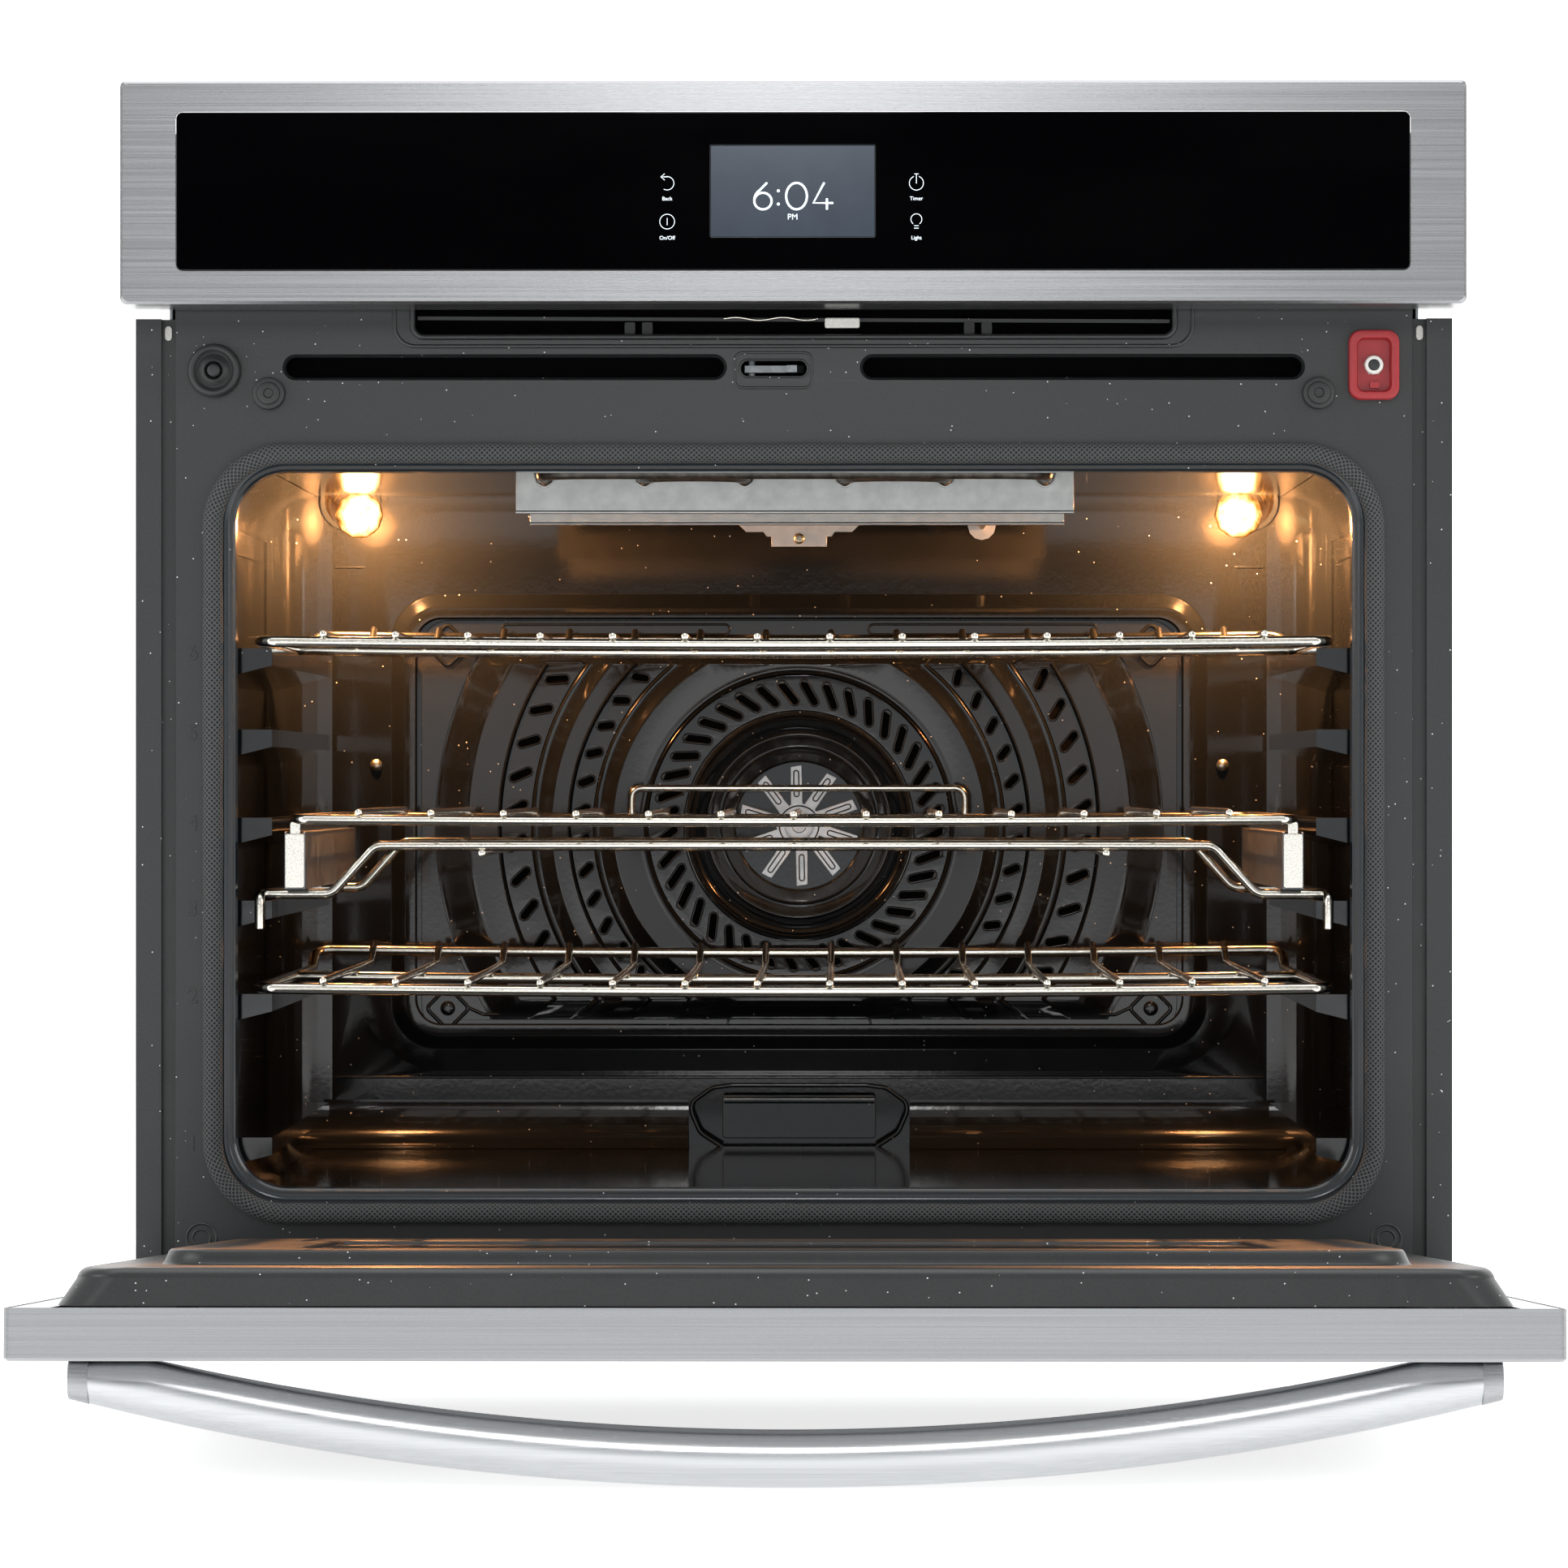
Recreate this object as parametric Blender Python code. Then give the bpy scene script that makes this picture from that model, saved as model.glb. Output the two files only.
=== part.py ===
"""Built-in electric wall oven, 30 inch class, as an assembly of separate solids.

Units are metres. +X is the right-hand side seen from the front, +Y runs into the oven and +Z is up.
The origin is the centre of the chassis underside. The door stands open, resting on its stops.
"""

import math

import bmesh
import bpy
from mathutils import Vector

# ------------------------------------------------------------------ driving dimensions
OVERALL_WIDTH = 0.762  # door and control panel
CHASSIS_HEIGHT = 0.700
CHASSIS_DEPTH = 0.565
TRIM_OVERLAP = 0.022  # the door and the panel cover this much of the cabinet on each side
SHEET = 0.0015  # chassis and front frame sheet
LINER_SHEET = 0.0012  # cavity, door and trim sheet
GAP = 0.0003  # left between pieces that touch

PANEL_HEIGHT = 0.1263
PANEL_RISE = 0.024  # panel top above the chassis
PANEL_REACH = 0.045  # panel front ahead of the chassis
PANEL_BOX_DEPTH = 0.048
PANEL_EDGE = 0.0015
GLASS_SIDE_MARGIN = 0.0316
GLASS_BOTTOM_MARGIN = 0.0186
GLASS_TOP_MARGIN = 0.0175
GLASS_CORNER = 0.004
PANEL_GLASS = 0.0035
DISPLAY_WIDTH = 0.0932
DISPLAY_HEIGHT = 0.0518
DISPLAY_DEPTH = 0.012
BOARD_WIDTH = 0.520
BOARD_HEIGHT = 0.070
BOARD_SHEET = 0.0016
BOARD_PARTS = ((0.19, 0.030, 0.016), (0.09, 0.050, 0.012), (-0.12, 0.060, 0.019))  # x, width, reach

FRAME_SETBACK = 0.054  # front frame face behind the panel front
FRAME_SIDE_MARGIN = 0.004  # frame face inside the chassis width
FRAME_BEHIND_PANEL = 0.040
TRIM_CHANNEL_WIDTH = 0.009
TRIM_CHANNEL_DEPTH = 0.006
TRIM_FLANGE_WIDTH = 0.0135

CAVITY_SIDE_SPACE = 0.018  # chassis side to cavity wall
CAVITY_REAR_SPACE = 0.080
FLOOR_Z = 0.0915
HEADER_HEIGHT = 0.0912  # opening top to panel bottom
WOOL_CLEARANCE = 0.0015
WOOL_ABOVE = 0.034  # blanket top above the ceiling
WOOL_BELOW = 0.0255  # blanket inside below the floor
WOOL_FRONT = 0.056  # blanket front behind the frame face
OPENING_SIDE_LIP = 0.0192
OPENING_BOTTOM_LIP = 0.0008
OPENING_TOP_LIP = 0.0045
OPENING_CORNER = 0.031

GASKET_WIDTH = 0.0125
GASKET_PROUD = 0.0084
GASKET_SIDE_OFFSET = 0.0112
GASKET_TOP_OFFSET = 0.0090
GASKET_BOTTOM_OFFSET = 0.0128
GASKET_CORNER = 0.042

DOOR_BOTTOM_Z = 0.024
DOOR_PANEL_GAP = 0.006
DOOR_PIVOT_Z = 0.044
DOOR_PIVOT_DEPTH = 0.030  # pivot behind the door's outer face
DOOR_OPEN_ANGLE = 86.8  # degrees
DOOR_RIM_DEPTH = 0.026
DOOR_WINDOW_SIDE = 0.048
DOOR_WINDOW_BOTTOM = 0.080
DOOR_WINDOW_TOP = 0.110
DOOR_OUTER_GLASS = 0.004
DOOR_INNER_GLASS = 0.0035
LINER_SIDE_MARGIN = 0.022
LINER_BOTTOM = 0.007  # above the pivot when shut
LINER_RISE = 0.019
LINER_DRAFT = 0.009
LINER_CORNER = 0.020
PAN_WIDTH_CLEARANCE = 0.0113
PAN_HEIGHT_CLEARANCE = 0.0045
PAN_RISE = 0.008
PAN_CORNER = 0.024
INNER_WINDOW_MARGIN = 0.060

HANDLE_LENGTH = 0.707
HANDLE_THICKNESS = 0.0287
HANDLE_WIDTH = 0.022
HANDLE_REACH = 0.0634
HANDLE_END_REACH = 0.020
HANDLE_BELOW_TOP = 0.045

RACK_LEVELS = (0.0335, 0.1165, 0.1705, 0.2185, 0.2695, 0.3165)  # rod centres above the floor
RACK_ROD = 0.0033  # radius
RACK_WIRE = 0.0022  # radius
WIRE_PITCH = 0.04172
WIRE_WELD = 0.0008  # how deep a wire sinks into the rod under it
RACK_SIDE_CLEARANCE = 0.0103  # rack half width inside the opening half width
RACK_FRONT = 0.016  # front rod behind the frame face
RACK_REAR_SPACE = 0.053  # rear rod ahead of the back wall
RACK_STOP_RISE = 0.012
RACK_CROSS_ROD = 0.240  # cross rod behind the front rod
RACK_CROSS_REACH = 0.0045  # past the rack's side rods
RACK_BEND = 0.030  # the rear rises over this length
RIB_HEIGHT = 0.010
RIB_FRONT = 0.026  # ribs start behind the frame face
RIB_BEARING = 0.0065  # how far a rib reaches under a rack's side rod
RIB_REAR_SPACE = 0.030

GLIDE_ROD = 0.0029  # radius
GLIDE_WIRE_PITCH = 0.0418
GLIDE_RAIL_WIDTH = 0.012
GLIDE_RAIL_HEIGHT = 0.033
GLIDE_DECK_RISE = GLIDE_RAIL_HEIGHT + 0.0105  # deck rod above the base rod
GLIDE_RAIL_OUTSIDE = 0.0175  # rail outside face inside the base rod's end
GLIDE_BASE_FRONT = 0.026  # base cross rod behind the deck front rod
GLIDE_BASE_STEP = 0.028
GLIDE_TAB_DROP = 0.020
GLIDE_KNEE = 0.0135  # inside the rail
GLIDE_SLANT = 0.025
GLIDE_RUN_X = 0.181  # wires along the base
GLIDE_STOP_HALF = 0.106
GLIDE_STOP_RISE = 0.012

FAN_HEIGHT = 0.2075  # above the floor
FAN_RADIUS = 0.039
FAN_HUB = 0.015
FAN_THICKNESS = 0.005
FAN_BLADES = 10
SHAFT = 0.003  # radius
COVER_HALF_WIDTH = 0.245
COVER_TOP = 0.141  # cover edge above the fan centre
COVER_BOTTOM = 0.136
COVER_FLANGE_DEPTH = 0.003
COVER_DOME = 0.211  # radius, cut flat above and below
COVER_DOME_TOP = 0.109
COVER_DOME_BOTTOM = 0.125
COVER_DEPTH = 0.0175
COVER_INLET = 0.041
COVER_FUNNEL = 0.078
COVER_SLOPE = 0.016  # how far the dome's wall leans in
FUNNEL_DEPTH = 0.0085
RING_RADIUS = 0.095  # convection element
RING_DEPTH = 0.009  # element ahead of the back wall
BLADE_WIDTH = 0.0040  # half a blade
BLADE_ROOT = 0.0046
MOTOR_RADIUS = 0.030
MOTOR_GAP = 0.016  # behind the back wall
MOTOR_BODY = 0.034
MOTOR_LENGTH = 0.042

BROIL_DROP = 0.0085  # element centre below the ceiling
BROIL_PITCH = 0.059
ELEMENT_FRONT = 0.031  # bends behind the frame face
ELEMENT_REAR = 0.060  # bends ahead of the back wall
TERMINAL_HALF = 0.040
TERMINAL_TAB = 0.018  # half width
TERMINAL_DROP = 0.0175  # plate edge below the element
TERMINAL_TAB_DROP = 0.0095
BAKE_DROP = 0.012
BAKE_RUNS = (0.060, 0.170)
BAKE_SIDE = 0.050  # outer run inside the opening half width
FLOOR_COVER_WIDTH = 0.099
FLOOR_COVER_HEIGHT = 0.028
FLOOR_COVER_RISE = 0.0195
SENSOR_X = 0.118
SENSOR_REACH = 0.090
SENSOR_FOOT = 0.009
ELEMENT_ROD = 0.0035  # radius
BROIL_SHIELD_WIDTH = 0.329
BROIL_SHIELD_HEIGHT = 0.0255
SHIELD_DEPTHS = (0.103, 0.276)  # behind the frame face

LAMP_RADIUS = 0.0155
LAMP_LENGTH = 0.057
LAMP_WALL = 0.0015
LAMP_SIDE_SPACE = 0.056  # cavity wall to the lamp's seat
LAMP_DROP = 0.0165  # seat centre below the ceiling
LAMP_AIM = (-0.330, -0.943, -0.030)  # on the right-hand side

AIR_SLOT_START = 0.0384  # from the middle of the frame
AIR_SLOT_END_MARGIN = 0.0286  # inside the opening half width
AIR_SLOT_HEIGHT = 0.0144
AIR_SLOT_DROP = 0.0325  # slot centre below the panel
LATCH_X = -0.0112
LATCH_DROP = 0.0333
LATCH_SLOT_WIDTH = 0.039
LATCH_SLOT_HEIGHT = 0.0098
VENT_SIDE_MARGIN = 0.104
VENT_HEIGHT = 0.019
VENT_DROP = 0.010
PROBE_OUTSIDE = 0.0108  # centre outside the opening half width
PROBE_DROP = 0.0317
PROBE_WIDTH = 0.029
PROBE_HEIGHT = 0.040
PROBE_RIM = 0.005
PROBE_PROUD = 0.007
SWITCH_OUTSIDE = 0.0106
SWITCH_DROP = 0.0345
SWITCH_RADIUS = 0.0154
SWITCH_PROUD = 0.0075
PLUNGER_RADIUS = 0.004
PLUNGER_PROUD = 0.0084
BUMPER_INSIDE = 0.0208
BUMPER_DROP = 0.0477
BUMPER_RADIUS = 0.0093
BUMPER_PROUD = 0.0077
LOCK_HEIGHT = 0.016
LOCK_DEPTH = 0.034
LOCK_WIDTH = 0.050
LOCK_PIVOT_DEPTH = 0.012  # pivot behind the frame face

HINGE_INSET = 0.024  # hinge plane inside the chassis side
HINGE_ARM_THICKNESS = 0.004
HINGE_LEAF_THICKNESS = 0.003
HINGE_LEAF_LENGTH = 0.110
HINGE_PIN = 0.002  # radius
HINGE_SLOT_WIDTH = 0.0125
HINGE_SLOT_HEIGHT = 0.020

TRIM_BOTTOM_Z = 0.010
TRIM_TOP_DROP = 0.0047
BOTTOM_TRIM_HEIGHT = 0.006
BOTTOM_TRIM_SETBACK = 0.012  # behind the panel front
INLET_X = 0.230
INLET_DROP = 0.075  # plate centre below the chassis top
INLET_WIDTH = 0.090
INLET_HEIGHT = 0.060
INLET_HOLE = 0.028

BLOWER_X = 0.100
BLOWER_Y = 0.010
BLOWER_RISE = 0.036  # underside above the ceiling
BLOWER_WIDTH = 0.210
BLOWER_BORE = 0.168
BLOWER_HEIGHT = 0.058
BLOWER_SPACE = 0.001  # under the housing, to its mounting plane
WHEEL_RADIUS = 0.078
WHEEL_INNER = 0.060
WHEEL_HEIGHT = 0.048
WHEEL_VANES = 18

# ------------------------------------------------------------------ places worked out from them
CHASSIS_WIDTH = OVERALL_WIDTH - 2 * TRIM_OVERLAP
FRONT_Y = -CHASSIS_DEPTH / 2 - PANEL_REACH
REAR_Y = CHASSIS_DEPTH / 2
FRAME_Y = FRONT_Y + FRAME_SETBACK
FRAME_BACK_Y = FRAME_Y + SHEET
SHELL_Y = FRAME_Y + TRIM_CHANNEL_DEPTH + LINER_SHEET + GAP
BACK_Y = REAR_Y - CAVITY_REAR_SPACE
PANEL_TOP_Z = CHASSIS_HEIGHT + PANEL_RISE
PANEL_BOTTOM_Z = PANEL_TOP_Z - PANEL_HEIGHT
DOOR_TOP_Z = PANEL_BOTTOM_Z - DOOR_PANEL_GAP
CAVITY_HALF = CHASSIS_WIDTH / 2 - CAVITY_SIDE_SPACE
OPENING_HALF = CAVITY_HALF - OPENING_SIDE_LIP
OPENING_TOP_Z = PANEL_BOTTOM_Z - HEADER_HEIGHT
OPENING_BOTTOM_Z = FLOOR_Z + OPENING_BOTTOM_LIP
CEILING_Z = OPENING_TOP_Z + OPENING_TOP_LIP
FAN_Z = FLOOR_Z + FAN_HEIGHT
RACK_HALF = OPENING_HALF - RACK_SIDE_CLEARANCE
RACK_FRONT_Y = FRAME_Y + RACK_FRONT
RACK_DEPTH = BACK_Y - RACK_REAR_SPACE - RACK_FRONT_Y
RIB_INNER = RACK_HALF - RACK_ROD - RIB_BEARING
DOOR_PIVOT_Y = FRONT_Y + DOOR_PIVOT_DEPTH
HINGE_X = CHASSIS_WIDTH / 2 - HINGE_INSET
PROBE_PLACE = (OPENING_HALF + PROBE_OUTSIDE, PANEL_BOTTOM_Z - PROBE_DROP)
SWITCH_PLACE = (-OPENING_HALF - SWITCH_OUTSIDE, PANEL_BOTTOM_Z - SWITCH_DROP)
SIDES = (("left", -1), ("right", 1))


# ------------------------------------------------------------------ modelling helpers
def clear_scene():
    """Start from an empty scene."""
    for old in list(bpy.data.objects):
        bpy.data.objects.remove(old, do_unlink=True)


def finish(name, red, green, blue, roughness, metallic=0.0):
    """A Principled material for one piece."""
    made = bpy.data.materials.new(name)
    made.use_nodes = True
    shader = made.node_tree.nodes["Principled BSDF"]
    shader.inputs["Base Color"].default_value = (red, green, blue, 1.0)
    shader.inputs["Roughness"].default_value = roughness
    shader.inputs["Metallic"].default_value = metallic
    return made


def piece(name, shape, material, at=(0, 0, 0), parent=None):
    """Turn a bmesh into a named object, round surfaces shaded smooth."""
    bmesh.ops.recalc_face_normals(shape, faces=shape.faces)
    mesh = bpy.data.meshes.new(name)
    shape.to_mesh(mesh)
    shape.free()
    mesh.shade_smooth()
    mesh.set_sharp_from_angle(angle=math.radians(35))
    mesh.materials.append(material)
    made = bpy.data.objects.new(name, mesh)
    bpy.context.collection.objects.link(made)
    made.location = at
    made.parent = parent
    return made


def joint_empty(name, at, turn=(0, 0, 0)):
    """An empty on a joint's axis, which the moving pieces are parented to."""
    made = bpy.data.objects.new(name, None)
    bpy.context.collection.objects.link(made)
    made.location = at
    made.rotation_euler = turn
    return made


def join(target, tool):
    """Union a helper solid into a piece."""
    tool.hide_render = True
    tool.display_type = "WIRE"
    union = target.modifiers.new("join_" + tool.name, "BOOLEAN")
    union.operation = "UNION"
    union.object = tool


def box(low, high):
    """A block between two corners."""
    shape = bmesh.new()
    bmesh.ops.create_cube(shape, size=1.0)
    low, high = Vector(low), Vector(high)
    size, middle = high - low, (low + high) / 2
    for vertex in shape.verts:
        vertex.co = middle + Vector(a * b for a, b in zip(vertex.co, size))
    return shape


def rounded_rect(width, height, radius, steps=4, centre=(0, 0)):
    """Points of a rectangle with round corners, anticlockwise."""
    points = []
    for quarter, (sx, sz) in enumerate(((1, 1), (-1, 1), (-1, -1), (1, -1))):
        cx = centre[0] + sx * (width / 2 - radius)
        cz = centre[1] + sz * (height / 2 - radius)
        for step in range(steps + 1):
            angle = math.pi / 2 * (quarter + step / steps)
            points.append((cx + radius * math.cos(angle), cz + radius * math.sin(angle)))
    return points


def circle(radius, steps=16, centre=(0, 0)):
    """Points of a circle, anticlockwise."""
    turns = [2 * math.pi * step / steps for step in range(steps)]
    return [(centre[0] + radius * math.cos(a), centre[1] + radius * math.sin(a)) for a in turns]


def on_plane(plane, u, v, depth):
    """A point from two coordinates in a plane and a third across it."""
    return {"XZ": (u, depth, v), "XY": (u, v, depth), "YZ": (depth, u, v)}[plane]


def plate(plane, outline, start, end, holes=()):
    """A flat outline with holes, extruded across its plane."""
    shape = bmesh.new()
    edges = []
    for loop in (outline, *holes):
        ring = [shape.verts.new(on_plane(plane, u, v, start)) for u, v in loop]
        edges += [shape.edges.new((a, b)) for a, b in zip(ring, ring[1:] + ring[:1])]
    bmesh.ops.triangle_fill(shape, use_beauty=True, use_dissolve=False, edges=edges)
    grown = bmesh.ops.extrude_face_region(shape, geom=shape.faces[:])
    moved = [item for item in grown["geom"] if isinstance(item, bmesh.types.BMVert)]
    bmesh.ops.translate(shape, verts=moved, vec=on_plane(plane, 0, 0, end - start))
    return shape


def loft(sections, closed=False, shape=None):
    """Skin loops of equally many points, with the ends capped or joined to each other."""
    shape = shape or bmesh.new()
    rings = [[shape.verts.new(point) for point in section] for section in sections]
    pairs = list(zip(rings, rings[1:]))
    if closed:
        pairs.append((rings[-1], rings[0]))
    else:
        shape.faces.new(rings[0])
        shape.faces.new(rings[-1])
    for here, there in pairs:
        for index in range(len(here)):
            after = (index + 1) % len(here)
            shape.faces.new((here[index], here[after], there[after], there[index]))
    return shape


def ring_of_rects(sections, steps=4):
    """A closed ring from (width, height, radius, centre x, centre z, y) loops."""
    loops = [
        [(x, y, z) for x, z in rounded_rect(width, height, radius, steps, (cx, cz))]
        for width, height, radius, cx, cz, y in sections
    ]
    return loft(loops, closed=True)


def turned(profile, steps=24, closed=False):
    """A shape turned about Y from (radius, y) points."""
    loops = [[(x, y, z) for x, z in circle(radius, steps)] for radius, y in profile]
    return loft(loops, closed=closed)


def filleted(corners, radius, steps=3, cyclic=False):
    """A path through corner points, each corner replaced by an arc."""
    corners = [Vector(corner) for corner in corners]
    path = []
    for index, corner in enumerate(corners):
        if not cyclic and index in (0, len(corners) - 1):
            path.append(corner)
            continue
        before = (corners[index - 1] - corner).normalized()
        after = (corners[(index + 1) % len(corners)] - corner).normalized()
        half = before.angle(after) / 2
        back = radius / math.tan(half)
        centre = corner + (before + after).normalized() * (radius / math.sin(half))
        start = (corner + before * back - centre).normalized()
        end = (corner + after * back - centre).normalized()
        for step in range(steps + 1):
            path.append(centre + start.slerp(end, step / steps) * radius)
    return path


def tube(path, radius, sides=6, cyclic=False, shape=None):
    """A round bar along a path, with mitred joints between its runs."""
    path = [Vector(point) for point in path]
    count = len(path)
    sections = []
    side = None
    for index, point in enumerate(path):
        ahead = path[(index + 1) % count] if cyclic or index < count - 1 else None
        behind = path[index - 1] if cyclic or index > 0 else None
        into = (point - behind).normalized() if behind is not None else None
        out = (ahead - point).normalized() if ahead is not None else None
        along = into or out
        mitre = ((into or out) + (out or into)).normalized()
        if side is None:
            guess = Vector((0, 0, 1)) if abs(along.z) < 0.9 else Vector((0, 1, 0))
            side = guess
        side = (side - along * side.dot(along)).normalized()
        other = along.cross(side)
        section = []
        for step in range(sides):
            angle = 2 * math.pi * (step + 0.5) / sides
            spoke = (side * math.cos(angle) + other * math.sin(angle)) * radius
            spoke -= along * (spoke.dot(mitre) / along.dot(mitre))
            section.append(point + spoke)
        sections.append(section)
        if out is not None:
            side = (side - out * side.dot(out)).normalized()
    return loft(sections, closed=cyclic, shape=shape)


# ------------------------------------------------------------------ finishes
def make_finishes():
    """Every material by name."""
    table = {
        "stainless": (0.55, 0.56, 0.57, 0.32, 1.0),
        "galvanised": (0.48, 0.50, 0.51, 0.45, 1.0),
        "enamel": (0.055, 0.057, 0.060, 0.22, 0.0),
        "cavity_enamel": (0.045, 0.052, 0.060, 0.18, 0.0),
        "black_glass": (0.004, 0.004, 0.005, 0.05, 0.0),
        "display": (0.028, 0.040, 0.058, 0.20, 0.0),
        "circuit_board": (0.03, 0.12, 0.05, 0.5, 0.0),
        "chrome_wire": (0.72, 0.71, 0.67, 0.18, 1.0),
        "element": (0.10, 0.09, 0.085, 0.5, 0.6),
        "bright_strip": (0.48, 0.52, 0.53, 0.35, 1.0),
        "rope": (0.075, 0.078, 0.080, 0.8, 0.0),
        "lamp_glass": (0.85, 0.80, 0.70, 0.08, 0.0),
        "lamp": (1.0, 0.75, 0.45, 0.4, 0.0),
        "wool": (0.70, 0.66, 0.50, 0.9, 0.0),
        "red_plastic": (0.36, 0.045, 0.050, 0.35, 0.0),
        "pale_plastic": (0.75, 0.75, 0.73, 0.4, 0.0),
        "dark_rubber": (0.03, 0.03, 0.03, 0.6, 0.0),
        "fan_aluminium": (0.52, 0.53, 0.54, 0.4, 1.0),
        "motor_black": (0.05, 0.05, 0.05, 0.5, 0.3),
    }
    return {name: finish(name, *values) for name, values in table.items()}


# ------------------------------------------------------------------ casing
def build_chassis(looks):
    """Base, sides, top and back of the outer case."""
    half = CHASSIS_WIDTH / 2
    top = CHASSIS_HEIGHT - SHEET
    steel = looks["galvanised"]
    piece("chassis_base", box((-half, -CHASSIS_DEPTH / 2, 0), (half, REAR_Y, SHEET)), steel)
    low = SHEET + GAP
    for side, sign in SIDES:
        a, b = sorted((sign * half, sign * (half - SHEET)))
        piece("chassis_side_" + side, box((a, SHELL_Y, low), (b, REAR_Y, top - GAP)), steel)
    piece("chassis_top", box((-half, SHELL_Y, top), (half, REAR_Y, CHASSIS_HEIGHT)), steel)
    inner = half - SHEET - GAP
    back = box((-inner, REAR_Y - SHEET, low), (inner, REAR_Y, top - GAP))
    piece("chassis_back", back, steel)
    near, far = REAR_Y + GAP, REAR_Y + GAP + SHEET
    place = (INLET_X, CHASSIS_HEIGHT - INLET_DROP)
    rim = (INLET_WIDTH, INLET_HEIGHT, 0.006, *place)
    hole = (INLET_HOLE, INLET_HOLE, INLET_HOLE / 2, *place)
    inlet = [(*rim, near), (*rim, far), (*hole, far), (*hole, near)]
    piece("power_inlet_plate", ring_of_rects(inlet), steel)


def build_front_frame(looks):
    """The enamelled face around the opening, with its slots and vents."""
    half = CHASSIS_WIDTH / 2 - FRAME_SIDE_MARGIN
    low, high = SHEET + GAP, PANEL_BOTTOM_Z + FRAME_BEHIND_PANEL
    outline = [(-half, low), (half, low), (half, high), (-half, high)]
    opening_height = OPENING_TOP_Z - OPENING_BOTTOM_Z
    middle = (OPENING_TOP_Z + OPENING_BOTTOM_Z) / 2
    holes = [rounded_rect(2 * OPENING_HALF, opening_height, OPENING_CORNER, 5, (0, middle))]
    slot_end = OPENING_HALF - AIR_SLOT_END_MARGIN
    slot_length = slot_end - AIR_SLOT_START
    for sign in (-1, 1):
        centre = (sign * (AIR_SLOT_START + slot_end) / 2, PANEL_BOTTOM_Z - AIR_SLOT_DROP)
        holes.append(rounded_rect(slot_length, AIR_SLOT_HEIGHT, 0.007, 3, centre))
        slot = (sign * (HINGE_X + 0.0005), DOOR_PIVOT_Z)
        holes.append(rounded_rect(HINGE_SLOT_WIDTH, HINGE_SLOT_HEIGHT, 0.001, 1, slot))
    latch = (LATCH_X, PANEL_BOTTOM_Z - LATCH_DROP)
    holes.append(rounded_rect(LATCH_SLOT_WIDTH, LATCH_SLOT_HEIGHT, 0.002, 1, latch))
    vent = 2 * (OPENING_HALF - VENT_SIDE_MARGIN)
    holes.append(rounded_rect(vent, VENT_HEIGHT, 0.006, 2, (0, PANEL_BOTTOM_Z - VENT_DROP)))
    hole_width, hole_height = PROBE_WIDTH - 0.009, PROBE_HEIGHT - 0.010
    holes.append(rounded_rect(hole_width, hole_height, 0.004, 1, PROBE_PLACE))
    holes.append(circle(1.5 * PLUNGER_RADIUS, 10, SWITCH_PLACE))
    piece("front_frame", plate("XZ", outline, FRAME_Y, FRAME_BACK_Y, holes), looks["enamel"])


def build_trims(looks):
    """Side trims with their mounting channel, and the strip under the door."""
    inner = CHASSIS_WIDTH / 2 - FRAME_SIDE_MARGIN + GAP
    wall = inner + TRIM_CHANNEL_WIDTH
    outer = wall + TRIM_FLANGE_WIDTH
    deep = FRAME_Y + TRIM_CHANNEL_DEPTH
    profile = [
        (inner, deep),
        (wall - LINER_SHEET, deep),
        (wall - LINER_SHEET, FRAME_Y),
        (outer, FRAME_Y),
        (outer, FRAME_Y + LINER_SHEET),
        (wall, FRAME_Y + LINER_SHEET),
        (wall, deep + LINER_SHEET),
        (inner, deep + LINER_SHEET),
    ]
    for side, sign in SIDES:
        outline = [(sign * x, y) for x, y in profile]
        shape = plate("XY", outline, TRIM_BOTTOM_Z, PANEL_BOTTOM_Z - TRIM_TOP_DROP)
        piece("side_trim_" + side, shape, looks["enamel"])
    half = OVERALL_WIDTH / 2 - 0.001
    front = FRONT_Y + BOTTOM_TRIM_SETBACK
    rear = -CHASSIS_DEPTH / 2 - GAP
    high = BOTTOM_TRIM_HEIGHT
    strip = [(front, 0), (rear, 0), (rear, high), (front + 0.004, high), (front, high / 2)]
    piece("bottom_trim", plate("YZ", strip, -half, half), looks["stainless"])


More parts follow.
